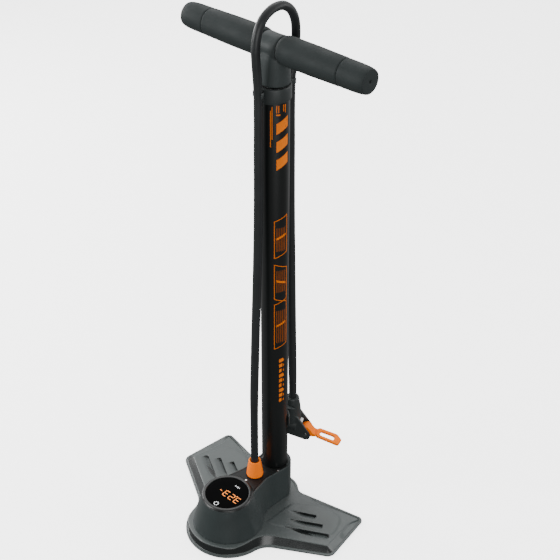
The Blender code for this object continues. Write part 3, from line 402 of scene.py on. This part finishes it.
HANDLE_HUB = moulded("handle_hub", (0.031, 0.038, 0.038), 0.50, 0.05, 1000, 0.07, specular=0.22)
HOSE_RUBBER = moulded("hose_rubber", (0.015, 0.017, 0.018), 0.42, 0.03, 1200, 0.12, specular=0.3)
RUBBER = moulded("pad_rubber", (0.018, 0.018, 0.018), 0.75, 0.05, 900, 0.15)
ORANGE = moulded("orange_plastic", (0.98, 0.19, 0.0005), 0.45, 0.03, 900, 0.04, specular=0.05)
WHITE = moulded("white_plastic", (0.74, 0.74, 0.73), 0.35, 0.02, 900, 0.03)
STEEL = moulded("plated_steel", (0.58, 0.58, 0.57), 0.26, 0.01, 700, 0.06, metallic=1.0,
                streaks=0.8)
CHROME = moulded("chromed_rod", (0.72, 0.72, 0.73), 0.09, 0.004, 500, 0.03, metallic=1.0,
                 streaks=0.95)
CASTING = moulded("socket_paint", (0.030, 0.037, 0.037), 0.44, 0.05, 900, 0.08)
BRASS = moulded("machined_brass", (0.72, 0.52, 0.20), 0.28, 0.01, 800, 0.08, metallic=1.0)
BOARD = moulded("solder_mask", (0.012, 0.085, 0.035), 0.4, 0.02, 500, 0.15)
CELL_WRAP = moulded("cell_wrap", (0.36, 0.07, 0.03), 0.3, 0.01, 400, 0.1)
MARK_WHITE = glowing("display_white", (0.75, 0.77, 0.78), 0.6)
DIGIT_ORANGE = glowing("display_orange", (0.95, 0.25, 0.02), 1.0)


# ---------------------------------------------------------------- camera

def make_camera():
    data = bpy.data.cameras.new("camera")
    data.lens = LENS
    data.sensor_width = SENSOR
    data.shift_x, data.shift_y = SHIFT
    camera = bpy.data.objects.new("camera", data)
    bpy.context.scene.collection.objects.link(camera)
    back = Vector((math.sin(AZIMUTH) * math.cos(ELEVATION),
                   -math.cos(AZIMUTH) * math.cos(ELEVATION), math.sin(ELEVATION)))
    camera.location = Vector((0, BARREL_Y, TARGET_Z)) + back * DISTANCE
    camera.rotation_mode = "QUATERNION"
    camera.rotation_quaternion = (-back).to_track_quat("-Z", "Y")
    bpy.context.scene.camera = camera


# ---------------------------------------------------------------- hose

def make_hose():
    """The air hose, a tube swept along its route from the boot, over the handle and down to the chuck.
    """
    path = smooth_through([put(0, y, z) for y, z in HOSE_ROUTE], 8)

    def radius_at(i):
        height = path[i].z / MM
        swell = smooth_step(height, 160, 200) * (1 - smooth_step(height, 540, 590))
        return (HOSE_R + HOSE_SWELL * swell) * MM

    hose = sweep("air_hose_skin", path, radius_at, HOSE_RUBBER, 28)
    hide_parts("air_hose")
    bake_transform(hose)


# ---------------------------------------------------------------- stand

def arc(centre, radius, start, end, count):
    return [Vector((centre[0] + radius * math.cos(start + (end - start) * i / count),
                    centre[1] + radius * math.sin(start + (end - start) * i / count)))
            for i in range(count + 1)]


def direction(angle):
    return Vector((math.cos(angle), math.sin(angle)))


def corner_arc(corner, angle_in, angle_out, radius, count):
    tangent = radius * math.tan((angle_out - angle_in) / 2)
    centre = (corner - direction(angle_in) * tangent
              + direction(angle_in + math.pi / 2) * radius)
    return arc(centre, radius, angle_in - math.pi / 2, angle_out - math.pi / 2, count)


def fillet_centre(circle, circle_r, point, angle, radius, side):
    outward = direction(angle - math.pi / 2)
    offset = (point - circle).dot(outward) + radius
    along = math.sqrt((circle_r + radius) ** 2 - offset ** 2)
    return circle + outward * offset + direction(angle) * along * side


def stand_outline():
    """The stand's edge in mm, anticlockwise from the nose's tip, a hair inside the CAD's."""
    nose, heel = Vector((0, NOSE_Y)), Vector((0, 0))
    front = fillet_centre(nose, NOSE_R, FRONT_CORNER, FRONT_ANGLE, NOSE_FILLET, 1)
    meet = math.atan2(*reversed(front - nose))
    half = arc(nose, NOSE_R, -math.pi / 2, meet, 44)
    half += arc(front, NOSE_FILLET, meet + math.pi, FRONT_ANGLE + math.pi / 2, 14)[1:]
    outer = math.atan2(*reversed(BACK_CORNER - FRONT_CORNER))
    front_end = corner_arc(FRONT_CORNER, FRONT_ANGLE, outer, FRONT_CORNER_R, 12)
    half += evenly(half[-1], front_end[0], 4.0)[1:-1] + front_end
    back_end = corner_arc(BACK_CORNER, outer, BACK_ANGLE, BACK_CORNER_R, 10)
    half += evenly(half[-1], back_end[0], 4.0)[1:-1] + back_end
    back = fillet_centre(heel, HEEL_R, BACK_CORNER, BACK_ANGLE, HEEL_FILLET, -1)
    to_back = math.atan2(back.y, back.x)
    fillet = arc(back, HEEL_FILLET, BACK_ANGLE + math.pi / 2 - TURN, to_back - math.pi, 8)
    half += evenly(half[-1], fillet[0], 4.0)[1:-1] + fillet
    half += arc(heel, HEEL_R, to_back, math.pi / 2, 14)[1:]
    whole = half + [Vector((-p.x, p.y)) for p in reversed(half[1:-1])]
    return inset(whole, [OUTLINE_INSET] * len(whole))


def evenly(start, end, spacing):
    count = max(1, round((end - start).length / spacing))
    return [start.lerp(end, i / count) for i in range(count + 1)]


def inset(outline, amounts):
    moved = []
    for i, point in enumerate(outline):
        along = (outline[(i + 1) % len(outline)] - outline[i - 1]).normalized()
        moved.append(point + Vector((-along.y, along.x)) * amounts[i])
    return moved


def wall_insets(outline):
    """How far in the wall's top edge is from the outline: more at the toes, less at nose and heel."""
    amounts = []
    for point in outline:
        amount = NOSE_LEAN + TOE_LEAN * smooth_step(abs(point.x), 44, 66)
        amounts.append(amount + (HEEL_LEAN - amount) * smooth_step(point.y, 18, 38))
    return amounts


def stand_top(y):
    return HEEL_TOP + TOP_SLOPE * (SLOPE_START - y)


def inside_distance(point, polygon):
    """Distance to a polygon's edge, positive inside it."""
    nearest, inside = 1e9, False
    for i, b in enumerate(polygon):
        a = polygon[i - 1]
        edge = b - a
        t = max(0.0, min(1.0, (point - a).dot(edge) / edge.length_squared))
        nearest = min(nearest, (point - a - edge * t).length)
        if (a.y > point.y) != (b.y > point.y):
            if point.x < a.x + (point.y - a.y) / (b.y - a.y) * (b.x - a.x):
                inside = not inside
    return nearest if inside else -nearest


def rib_drop(point):
    """How far the toe's surface dips in front of each grip rib's riser, whose darkness is painted
    shade.
    """
    drop = 0.0
    for start, end in RIBS:
        start, end = Vector(start), Vector(end)
        along = (end - start).normalized()
        offset = point - start
        s = offset.dot(along)
        t = offset.dot(Vector((along.y, -along.x)))
        length = (end - start).length
        depth = RIB_DEPTH * smooth_step(s, -3.0, length * 0.6)
        depth *= 1 - smooth_step(s, length - 1.2, length + 0.3)
        if t < RISER:
            fall = smooth_step(t, -RISER, RISER)
        else:
            fall = max(0.0, 1 - (t - RISER) / RIB_RUN) ** 1.3
        drop = max(drop, depth * fall)
    return drop


def toe_height(x, y):
    point = Vector((abs(x), y))
    panel = smooth_step(inside_distance(point, PANEL_EDGE), -0.8, 0.8)
    return stand_top(y) + PANEL_RISE * panel - rib_drop(point)


PANEL_EDGE = smooth_through([Vector(p) for p in PANEL] + [Vector(PANEL[0])], 3)[:-1]


def make_stand():
    outline = stand_outline()
    lean = wall_insets(outline)
    count = len(outline)
    edge = FLANGE_ROUND

    def level(amounts, height):
        return [put(p.x, p.y, height(p.y)) for p in inset(outline, amounts)]

    rings = [level([edge] * count, lambda y: FLANGE_BOTTOM)]
    for k in range(5):
        turn = math.pi / 2 * k / 4
        rings.append(level([edge * (1 - math.sin(turn))] * count,
                           lambda y, d=turn: FLANGE_BOTTOM + edge * (1 - math.cos(d))))
    for k in range(5):
        turn = math.pi / 2 * k / 4
        rings.append(level([edge * (1 - math.cos(turn))] * count,
                           lambda y, d=turn: FLANGE_TOP - edge * (1 - math.sin(d))))
    rings.append(level([FLANGE_WIDTH - 0.5] * count, lambda y: FLANGE_TOP))
    rings.append(level([FLANGE_WIDTH] * count, lambda y: FLANGE_TOP + 0.3))
    rings.append(level([FLANGE_WIDTH + 0.3] * count, lambda y: FLANGE_TOP + 0.9))
    rings.append(level([a - 1.7 for a in lean], lambda y: stand_top(y) - 1.5))
    rings.append(level([a - 1.15 for a in lean], lambda y: stand_top(y) - 0.6))
    rings.append(level([a - 0.5 for a in lean], lambda y: stand_top(y) - 0.12))
    rings.append(level([a + 0.4 for a in lean], stand_top))
    skin_points = [p for ring in rings for p in ring]
    faces = []
    for k in range(len(rings) - 1):
        for i in range(count):
            j = (i + 1) % count
            faces.append((k * count + i, k * count + j, (k + 1) * count + j, (k + 1) * count + i))
    rim = inset(outline, [a + 0.4 for a in lean])
    top_points, top_faces = filled(rim, TOE_GRID, rib_lines())
    base = len(skin_points)
    top = []
    for k, p in enumerate(top_points):
        height = stand_top(p.y) if k < count else toe_height(p.x, p.y)
        top.append(put(p.x, p.y, height))
    faces += [tuple(base + i for i in face) for face in top_faces]
    faces.append(tuple(reversed(range(count))))
    stand = mesh_object("stand_plate", skin_points + top, faces, STAND_PAINT, 50.0)
    # the front wall facing the camera and the rib risers get the darker copy of the paint: painted
    # shade
    stand.data.materials.append(STAND_PAINT_SHADED)
    for polygon in stand.data.polygons:
        middle = polygon.center / MM
        y = middle.y - BARREL_Y / MM
        riser = len(polygon.vertices) == 3 and 0 < polygon.normal.z < RISER_SLOPE
        shaded_front_wall = y < WALL_SHADE_END and FLANGE_TOP + 0.4 < middle.z < stand_top(y) - WALL_SHADE_EDGE
        if riser or shaded_front_wall:
            polygon.material_index = 1
    add(stand, "stand", "base_stand")


def rib_lines():
    """Two lines along each riser, so that the surface breaks cleanly there."""
    lines = []
    for side in (-1, 1):
        for start, end in RIBS:
            start, end = Vector(start), Vector(end)
            along = (end - start).normalized()
            for t in (-RISER, RISER):
                across = Vector((along.y, -along.x)) * t
                line = evenly(start + across, end + across, 1.6)
                lines.append([Vector((side * p.x, p.y)) for p in line])
    return lines


def filled(border, spacing, lines):
    """Triangles over the area inside a border, on a staggered grid that also follows the lines."""
    points = list(border)
    edges = [(i, (i + 1) % len(border)) for i in range(len(border))]
    for line in lines:
        start = len(points)
        points += line
        edges += [(start + i, start + i + 1) for i in range(len(line) - 1)]
    fixed = len(points)
    xs, ys = [p.x for p in border], [p.y for p in border]
    row, y = 0, min(ys) + spacing
    while y < max(ys):
        x = min(xs) + spacing * (0.5 if row % 2 else 1.0)
        while x < max(xs):
            point = Vector((x, y))
            clear = all(abs((point - p).x) > 0.7 or abs((point - p).y) > 0.7
                        for p in points[len(border):fixed])
            if clear and inside_distance(point, border) > spacing * 0.5:
                points.append(point)
            x += spacing
        y += spacing * 0.866
        row += 1
    found = delaunay_2d_cdt(points, edges, [list(range(len(border)))], 1, 0.0001)
    return found[0], found[2]


# ---------------------------------------------------------------- console

def console_half(nose_y, width, depth, side_points):
    first = side_points[0]
    meet = math.asin((first[1] - nose_y) / depth)
    nose = []
    for i in range(31):
        angle = -math.pi / 2 + (meet + math.pi / 2) * i / 30
        nose.append(Vector((width * math.cos(angle), nose_y + depth * math.sin(angle))))
    return nose + smooth_through([nose[-1]] + [Vector(p) for p in side_points[1:]], 10)[1:]


def both_sides(half):
    return list(reversed(half)) + [Vector((-p.x, p.y)) for p in half[1:]]


CONSOLE_FOOT = both_sides(console_half(
    NOSE_Y, 46.5, 49.0, [(36.6, -62), (28.0, -50), (24.2, -38), (23.9, -22), (24.0, 3)]))
CONSOLE_RIM = both_sides(console_half(
    GAUGE_Y, 34.4, 34.4, [(26.0, -71), (21.6, -52), (18.9, -36), (20.6, -17), (22.6, 3)]))


def rim_height(y):
    return RIM_TOP - RIM_FALL * min(1.0, max(0.0, y / RIM_FALL_RUN + 1.0))


def make_console():
    """The shell: a seam shadow at the foot, the leaning wall, a rounded rim and a short inner wall."""
    rows = []

    def row(t, inward, lift):
        points = []
        last = len(CONSOLE_FOOT) - 1
        for i, (foot, rim) in enumerate(zip(CONSOLE_FOOT, CONSOLE_RIM)):
            low = stand_top(foot.y) + 0.3
            at = foot.lerp(rim, t)
            along = CONSOLE_RIM[min(i + 1, last)] - CONSOLE_RIM[max(i - 1, 0)]
            side = Vector((along.y, -along.x)).normalized()
            at = at + side * inward
            points.append(put(at.x, at.y, low + (rim_height(rim.y) - low) * t + lift))
        return points

    rows.append(row(0.0, 2.0, 0.0))
    rows.append(row(0.0, 0.5, 0.0))
    rows.append(row(0.0, 0.1, 0.25))
    rows.append(row(0.01, 0.0, 0.3))
    for k in range(1, 12):
        rows.append(row(k / 12, 0.0, 0.0))
    rows.append(row(1.0, 0.0, -0.8))
    for k in range(5):
        turn = math.pi / 2 * k / 4
        rows.append(row(1.0, 0.8 * (1 - math.cos(turn)), -0.8 * (1 - math.sin(turn))))
    rows.append(row(1.0, 1.7, 0.0))
    rows.append(row(1.0, 2.1, -0.4))
    rows.append(row(1.0, 2.1, -4.0))
    shell = rings_to_mesh("console_skin", rows, CONSOLE_SHELL, caps=False, closed=False, sharp=50.0)
    add(shell, "stand", "console_housing")
    keep("barrel_socket", CASTING, bevel=0.4)
    keep("console_deck", DECK, bevel=0.3)
    for x, y, z in DECK_SCREWS:
        head = turned("deck_screw", [(0, 0.35, 0), (0.9, 0.35, 0), (1.5, 0.35, 0.3), (1.5, -0.3, 0)],
                      STEEL, upright(x, y, z), 24)
        add(head, "stand")


# ---------------------------------------------------------------- gauge

def mark(name, outline, material):
    """A thin raised mark on the display, from its outline in mm."""
    points = [put(p.x, p.y, 0) for p in outline]
    rings = [[Vector((p.x, p.y, z)) for p in points] for z in (MARK_BOTTOM, MARK_TOP)]
    add(rings_to_mesh(name, rings, material), "stand")


def segment_outline(centre, along, across, length, width):
    """A bar with pointed ends."""
    tip = width / 2
    ends = [(-length / 2, 0), (-length / 2 + tip, -tip), (length / 2 - tip, -tip), (length / 2, 0),
            (length / 2 - tip, tip), (-length / 2 + tip, tip)]
    return [centre + along * a + across * b for a, b in ends]


def make_gauge():
    """The bezel, the dark window, and the lit reading, which faces the pump's user."""
    bezel = [(27.6, 62.9, 0), (34.4, 62.9, 0), (34.3, 63.6, 0.3), (32.7, 65.3, 0.8),
             (31.4, GAUGE_TOP, 0.8), (29.3, GAUGE_TOP, 0.4), (28.9, 64.9, 0.3), (28.9, 63.5, 0)]
    add(turned("bezel_ring", bezel, BEZEL, upright(0, GAUGE_Y), 96, 50.0), "stand", "display_bezel")
    screen = [(0, 64.9, 0), (20, 64.9, 0), (28.5, 64.9, 0.4), (28.7, 64.5, 0.3), (28.7, 63.7, 0)]
    add(turned("display_window", screen, SCREEN, upright(0, GAUGE_Y), 96), "stand",
        "display_lens")
    right, up = Vector((-1, 0)), Vector((0, -1))

    def lit(outline):
        mark("digit_segment", outline, DIGIT_ORANGE)

    for digit, at in zip(READING, DIGIT_PLACES):
        for letter in DIGITS[digit]:
            x, y, standing = SEGMENTS[letter]
            middle = Vector(at) + right * x * 2 * DIGIT_WIDTH + up * y * DIGIT_HEIGHT
            along, across = (up, right) if standing else (right, up)
            length = (DIGIT_HEIGHT if standing else 2 * DIGIT_WIDTH) - 0.5
            lit(segment_outline(middle, along, across, length, STROKE))
    lit(segment_outline(Vector(DASH_PLACE), right, up, 3.6, STROKE))
    lit(arc(POINT_PLACE, 0.8, 0, TURN, 10)[:-1])


def make_gauge_marks():
    """Small plain marks: a row of bars at one side of the display and a dotted ring at the other."""
    for index, length in enumerate((2.2, 3.2, 1.6, 2.6)):
        centre = Vector((6.4 - index * 2.3, -76.5))
        outline = segment_outline(centre, Vector((0, 1)), Vector((1, 0)), length, STROKE)
        mark("display_bar", outline, MARK_WHITE)
    for index in range(8):
        centre = Vector((3.0, -117.0)) + direction(TURN * index / 8) * 2.9
        mark("display_dot", arc(centre, 0.75, 0, TURN, 10)[:-1], MARK_WHITE)


# ---------------------------------------------------------------- barrel, its print and the collar

def make_barrel():
    tube = [(BARREL_BORE_R, BARREL_BOTTOM, 0), (BARREL_R, BARREL_BOTTOM, 0.2),
            (BARREL_R, BARREL_TOP, 0.2), (BARREL_BORE_R, BARREL_TOP, 0)]
    add(turned("barrel_skin", tube, BARREL_COAT, upright(0, 0), 96), "stand", "barrel_tube")


def print_patch(name, outline, material):
    """A flat outline of (arc length, height) in mm, wrapped onto the barrel as a thin film."""
    border = []
    for i, point in enumerate(outline):
        border += evenly(Vector(outline[i - 1]), Vector(point), 1.2)[1:]
    points, faces = filled(border, PRINT_GRID, [])
    radius = BARREL_R + PRINT_LIFT
    skin = []
    for p in points:
        angle = PRINT_ANGLE + p.x / BARREL_R
        skin.append(put(radius * math.cos(angle), radius * math.sin(angle), p.y))
    add(mesh_object(name, skin, faces, material), "stand")


def bar(x0, x1, z0, z1, slant=0.0):
    """A four-cornered print shape between two arc lengths and two heights, with slanted ends."""
    return [(x0, z0), (x1, z0 + slant), (x1, z1 + slant), (x0, z1)]


def frame_lines(x0, x1, z0, z1, slant, width):
    """The four thin sides of a slanted panel's outline."""
    rise = slant * width / (x1 - x0)
    return [bar(x0, x0 + width, z0, z1, rise),
            bar(x1 - width, x1, z0 + slant - rise, z1 + slant - rise, rise),
            bar(x0 + width, x1 - width, z0 + rise, z0 + rise + width, slant - 2 * rise),
            bar(x0 + width, x1 - width, z1 + rise - width, z1 + rise, slant - 2 * rise)]


def make_print():
    """A plain pattern of stripes, slanted bars and outlined panels up the barrel's right front."""
    shapes = []
    for x, z0, z1 in ((-10.4, 556, 602), (-8.6, 566, 607), (-3.4, 599, 608), (-1.0, 599, 608),
                      (5.0, 600, 608.5), (7.4, 598, 608.5)):
        shapes.append((bar(x, x + 0.9, z0, z1), PRINT_ORANGE))
    shapes.append((bar(-3.4, 1.2, 595.6, 597.4), PRINT_ORANGE))
    for z in (572, 549, 526):
        shapes.append((bar(-3.2, 12.0, z, z + 13.5, 8.0), PRINT_ORANGE))
    for z0, z1, slant in ((404, 457, 7.0), (344, 396, -7.0), (266, 336, 7.0)):
        for outline in frame_lines(-6.0, 12.0, z0, z1, slant, 0.9):
            shapes.append((outline, PRINT_ORANGE))
        for x in (-2.8, -0.2, 2.4, 5.0, 7.6):
            shapes.append((bar(x, x + 0.7, z0 + 10, z1 - 10, 0.3), PRINT_DIM))
        shapes.append((bar(-3.4, 9.4, (z0 + z1) / 2, (z0 + z1) / 2 + 3.0, slant * 0.7),
                       PRINT_ORANGE))
    for index in range(9):
        z = 178 + index * 8.2
        shapes.append((bar(0.6, 4.0 + (index % 3) * 1.2, z, z + 5.4, 1.0), PRINT_ORANGE))
        shapes.append((bar(6.4, 7.6, z + 1.0, z + 4.2, 0.4), PRINT_ORANGE))
    for index, (outline, material) in enumerate(shapes):
        print_patch(f"barrel_print_{index:02d}", outline, material)


def make_collar():
    """The collar, whose lower edge dips towards the hose on the front and back."""
    steps = 120
    rows = []

    def row(radius, height, dip=0.0):
        ring = []
        for k in range(steps):
            angle = TURN * k / steps
            fall = dip * abs(math.sin(angle)) ** 3
            ring.append(put(radius * math.cos(angle), radius * math.sin(angle), height - fall))
        rows.append(ring)

    for radius, height in ((17.7, 611.5), (19.0, 611.2), (19.35, 611.5), (19.5, 612.1)):
        row(radius, height, COLLAR_DIP)
    for radius, height in ((19.5, 618.0), (19.5, 626.6), (19.3, 627.5), (18.7, 628.0),
                           (17.4, 628.0), (17.0, 627.6), (17.0, 624.6), (8.6, 624.6)):
        row(radius, height)
    collar = rings_to_mesh("collar_ring", rows, TRIM, caps=False, sharp=50.0)
    add(collar, "stand", "top_collar")
    for side in (-1, 1):
        make_clip(side)


def make_clip(side):
    """A C-shaped finger clip round the hose, open on its outer side."""
    centre = (0, side * CLIP_Y)
    facing = side * math.pi / 2
    start, end = facing + CLIP_OPENING, facing - CLIP_OPENING + TURN
    section = arc(centre, CLIP_OUTER_R, start, end, 30) + arc(centre, CLIP_INNER_R, end, start, 30)
    rows = []
    for z, tight in ((619.6, 0.3), (620.0, 0.0), (626.2, 0.0), (626.6, 0.3)):
        moved = inset(section, [tight] * len(section))
        rows.append([put(p.x, p.y, z) for p in moved])
    clip = rings_to_mesh("hose_clip", rows, TRIM, sharp=50.0)
    add(clip, "stand")


# ---------------------------------------------------------------- handle

def along_x(side):
    return frame_at(put(0, 0, HANDLE_Z), Vector((side, 0, 0)), Vector((0, 0, 1)))


def make_hub():
    """The hub: a round stem with a flat for the hose on two sides, flowing into the bar's saddle."""
    steps = 96
    rings = []
    for z, radius in STEM:
        ring = []
        for k in range(steps):
            angle = TURN * k / steps
            x, y = radius * math.cos(angle), radius * math.sin(angle)
            flat = radius - STEM_FLAT
            if abs(y) > flat:
                y = math.copysign(flat, y)
            ring.append(put(x, y, z))
        rings.append(ring)
    stem = rings_to_mesh("hub_stem_form", rings, HANDLE_HUB)
    bar_profile = [(0, -12.2, 0), (15.0, -12.2, 0.8), (15.0, -9, 1), (14.6, 0, 4), (15.0, 9, 1),
                   (15.0, 12.2, 0.8), (0, 12.2, 0)]
    saddle = turned("hub_bar_form", bar_profile, HANDLE_HUB, along_x(1), 96)
    shape = bmesh.new()
    shape.from_mesh(stem.data)
    shape.from_mesh(saddle.data)
    shape.to_mesh(stem.data)
    shape.free()
    bpy.data.objects.remove(saddle)
    remesh = stem.modifiers.new("Skin", "REMESH")
    remesh.mode = "VOXEL"
    remesh.voxel_size = 0.6 * MM
    relaxed = stem.modifiers.new("Relax", "SMOOTH")
    relaxed.factor = 0.5
    relaxed.iterations = 9
    bpy.context.view_layer.update()
    graph = bpy.context.evaluated_depsgraph_get()
    mesh = bpy.data.meshes.new_from_object(stem.evaluated_get(graph), depsgraph=graph)
    mesh.shade_smooth()
    hub = bpy.data.objects.new("handle_hub", mesh)
    bpy.context.scene.collection.objects.link(hub)
    bpy.data.objects.remove(stem)
    mesh.materials.clear()
    mesh.materials.append(HANDLE_HUB)
    add(hub, "handle", "handle_core")


def make_grips():
    grip = [(11.3, 12.6, 0), (13.2, 12.6, 0.6), (15.2, 13.6, 1.6), (16.5, 17.0, 3.0), (16.85, 24, 4),
            (16.75, 60, 6), (16.0, 97.6, 1.0), (15.5, 99.0, 0.5), (14.6, 99.3, 0)]
    end = [(14.6, 99.4, 0), (15.5, 99.6, 0.4), (15.85, 100.8, 1.0), (15.7, 118, 6), (15.2, 127, 5),
           (14.5, 131.6, 1.6), (13.8, 133.8, 0.6), (13.2, 134.0, 0.3), (2.4, 134.0, 0.3),
           (1.7, 133.5, 0.2), (1.6, 127, 0), (0, 127, 0)]
    for side, label in ((1, "right"), (-1, "left")):
        add(turned("grip_" + label, grip, HANDLE_GRIP, along_x(side), 96, 50.0), "handle",
            "handle_grip_" + label)
        add(turned("end_cap_" + label, end, HANDLE_GRIP, along_x(side), 96, 50.0), "handle",
            "handle_end_" + label)


def make_rod():
    rod = [(4.4, 54.6, 0), (6.0, 54.6, 0.2), (6.0, 658, 0.2), (4.4, 658, 0)]
    add(turned("rod_skin", rod, CHROME, upright(0, 0), 48), "handle", "piston_rod")


# ---------------------------------------------------------------- boot and chuck

def make_boot():
    boot = [(5.5, 86.0, 0), (6.6, 87.5, 0.6), (8.0, 87.3, 0.8), (9.1, 80.5, 6), (10.5, 71, 6),
            (11.35, 64.4, 1.2), (11.3, 62.9, 0.3), (5.2, 62.85, 0)]
    add(turned("boot_skin", list(reversed(boot)), ORANGE, upright(0, -39.7), 72, 50.0), "stand",
        "hose_boot")


def make_chuck():
    keep("chuck_body", TRIM, voxel=0.45, relax=8)
    keep("chuck_lever", ORANGE, voxel=0.35, relax=4)
    keep("chuck_holder", TRIM, voxel=0.5, relax=6)
    keep("chuck_plunger", WHITE, voxel=0.35, relax=5)
    keep("chuck_nut", TRIM, voxel=0.45, relax=6)
    keep("hose_ferrule", TRIM, bevel=0.3)
    keep("chuck_seal", RUBBER)
    keep("lever_pin", STEEL, bevel=0.2)


def make_valve_spring():
    """The check valve's spring, a coil of wire swept round its axis."""
    count = SPRING_STEPS * SPRING_TURNS
    path = []
    for i in range(count + 1):
        angle = TURN * i / SPRING_STEPS
        path.append(put(COIL_R * math.cos(angle), COIL_R * math.sin(angle),
                        SPRING_BOTTOM + (SPRING_TOP - SPRING_BOTTOM) * i / count))
    spring = sweep("valve_spring_skin", path, lambda i: WIRE_R * MM, STEEL, 10)
    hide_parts("check_valve_spring")
    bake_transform(spring)


def keep_the_rest():
    """Every other CAD node keeps its shape and takes its material."""
    looks = {
        "foot_pad_front_right": RUBBER, "foot_pad_back_right": RUBBER,
        "foot_pad_front_left": RUBBER, "foot_pad_back_left": RUBBER, "foot_pad_nose": RUBBER,
        "battery_cover": TRIM, "battery_cover_screw": STEEL, "battery_box": TRIM,
        "battery_cell_front": CELL_WRAP, "battery_cell_back": CELL_WRAP,
        "battery_contact_right": BRASS, "battery_contact_left": BRASS,
        "barrel_screw_back": STEEL, "barrel_screw_left": STEEL, "barrel_screw_right": STEEL,
        "console_screw_right": STEEL, "console_screw_left": STEEL, "channel_plug": BRASS,
        "barrel_o_ring": RUBBER, "check_valve_seat": BRASS, "check_valve_disc": RUBBER,
        "hose_barb": BRASS, "display_panel": DECK,
        "gauge_board": BOARD, "pressure_sensor": STEEL, "sensor_tube": HOSE_RUBBER,
        "rod_bush": TRIM, "rod_wiper": RUBBER, "stroke_bumper": RUBBER, "rod_insert": BRASS,
        "piston_head": TRIM, "piston_guide_ring": RUBBER, "piston_cup_seal": RUBBER,
        "piston_washer": STEEL, "piston_nut": STEEL,
    }
    for node, material in looks.items():
        keep(node, material)


# ---------------------------------------------------------------- stage

def make_world():
    """A soft studio sky, bright above, behind and at both sides, and dark where the camera stands."""
    world = bpy.data.worlds.new("studio")
    bpy.context.scene.world = world
    world.use_nodes = True
    tree = world.node_tree
    nodes, links = tree.nodes, tree.links
    background = nodes["Background"]
    background.inputs["Color"].default_value = (1.0, 1.0, 1.0, 1.0)
    place = nodes.new("ShaderNodeTexCoord")

    def along(x, y, z):
        product = nodes.new("ShaderNodeVectorMath")
        product.operation = "DOT_PRODUCT"
        product.inputs[1].default_value = (x, y, z)
        links.new(place.outputs["Generated"], product.inputs[0])
        return product.outputs["Value"]

    def combined(operation, first, second=None):
        sum_of = nodes.new("ShaderNodeMath")
        sum_of.operation = operation
        links.new(first, sum_of.inputs[0])
        if second:
            links.new(second, sum_of.inputs[1])
        return sum_of.outputs["Value"]

    sin, cos = math.sin(AZIMUTH), math.cos(AZIMUTH)
    up_and_back = along(-SKY_BACK * sin, SKY_BACK * cos, SKY_UP)
    sideways = combined("ABSOLUTE", along(SKY_SIDES * cos, SKY_SIDES * sin, 0.0))
    span = nodes.new("ShaderNodeMapRange")
    span.interpolation_type = "SMOOTHSTEP"
    span.inputs["From Min"].default_value = 0.1
    span.inputs["From Max"].default_value = 1.1
    span.inputs["To Min"].default_value = SKY_DARK
    span.inputs["To Max"].default_value = SKY_BRIGHT
    links.new(combined("ADD", up_and_back, sideways), span.inputs["Value"])
    links.new(span.outputs["Result"], background.inputs["Strength"])


def make_stage():
    """A plain pale floor that lights itself, and the area lights."""
    floor_mesh = bpy.data.meshes.new("floor")
    shape = bmesh.new()
    bmesh.ops.create_grid(shape, x_segments=2, y_segments=2, size=FLOOR_HALF)
    shape.to_mesh(floor_mesh)
    shape.free()
    floor = bpy.data.objects.new("floor", floor_mesh)
    floor.location.z = FLOOR_Z
    white = moulded("floor_white", (0.9, 0.9, 0.9), 0.8, 0.0, mottle=0.01)
    shader = white.node_tree.nodes["Principled BSDF"]
    source = shader.inputs["Base Color"].links[0].from_socket
    white.node_tree.links.new(source, shader.inputs["Emission Color"])
    shader.inputs["Emission Strength"].default_value = FLOOR_GLOW
    floor_mesh.materials.append(white)
    floor.visible_diffuse = False
    floor.visible_glossy = False
    bpy.context.scene.collection.objects.link(floor)
    middle = Vector((0, BARREL_Y, LIGHTS_AIM))
    right = Vector((math.cos(AZIMUTH), math.sin(AZIMUTH), 0))
    near = Vector((math.sin(AZIMUTH), -math.cos(AZIMUTH), 0))
    for name, sideways, towards, up, size, power in LIGHTS:
        data = bpy.data.lights.new(name, "AREA")
        data.energy = power
        data.size = size
        light = bpy.data.objects.new(name, data)
        light.location = right * sideways + near * towards + Vector((0, BARREL_Y, up))
        light.rotation_mode = "QUATERNION"
        light.rotation_quaternion = (middle - light.location).to_track_quat("-Z", "Y")
        bpy.context.scene.collection.objects.link(light)


make_camera()
make_hose()
make_world()
make_stage()
make_stand()
make_console()
make_gauge()
make_gauge_marks()
make_barrel()
make_print()
make_collar()
make_hub()
make_grips()
make_rod()
make_boot()
make_chuck()
make_valve_spring()
keep_the_rest()
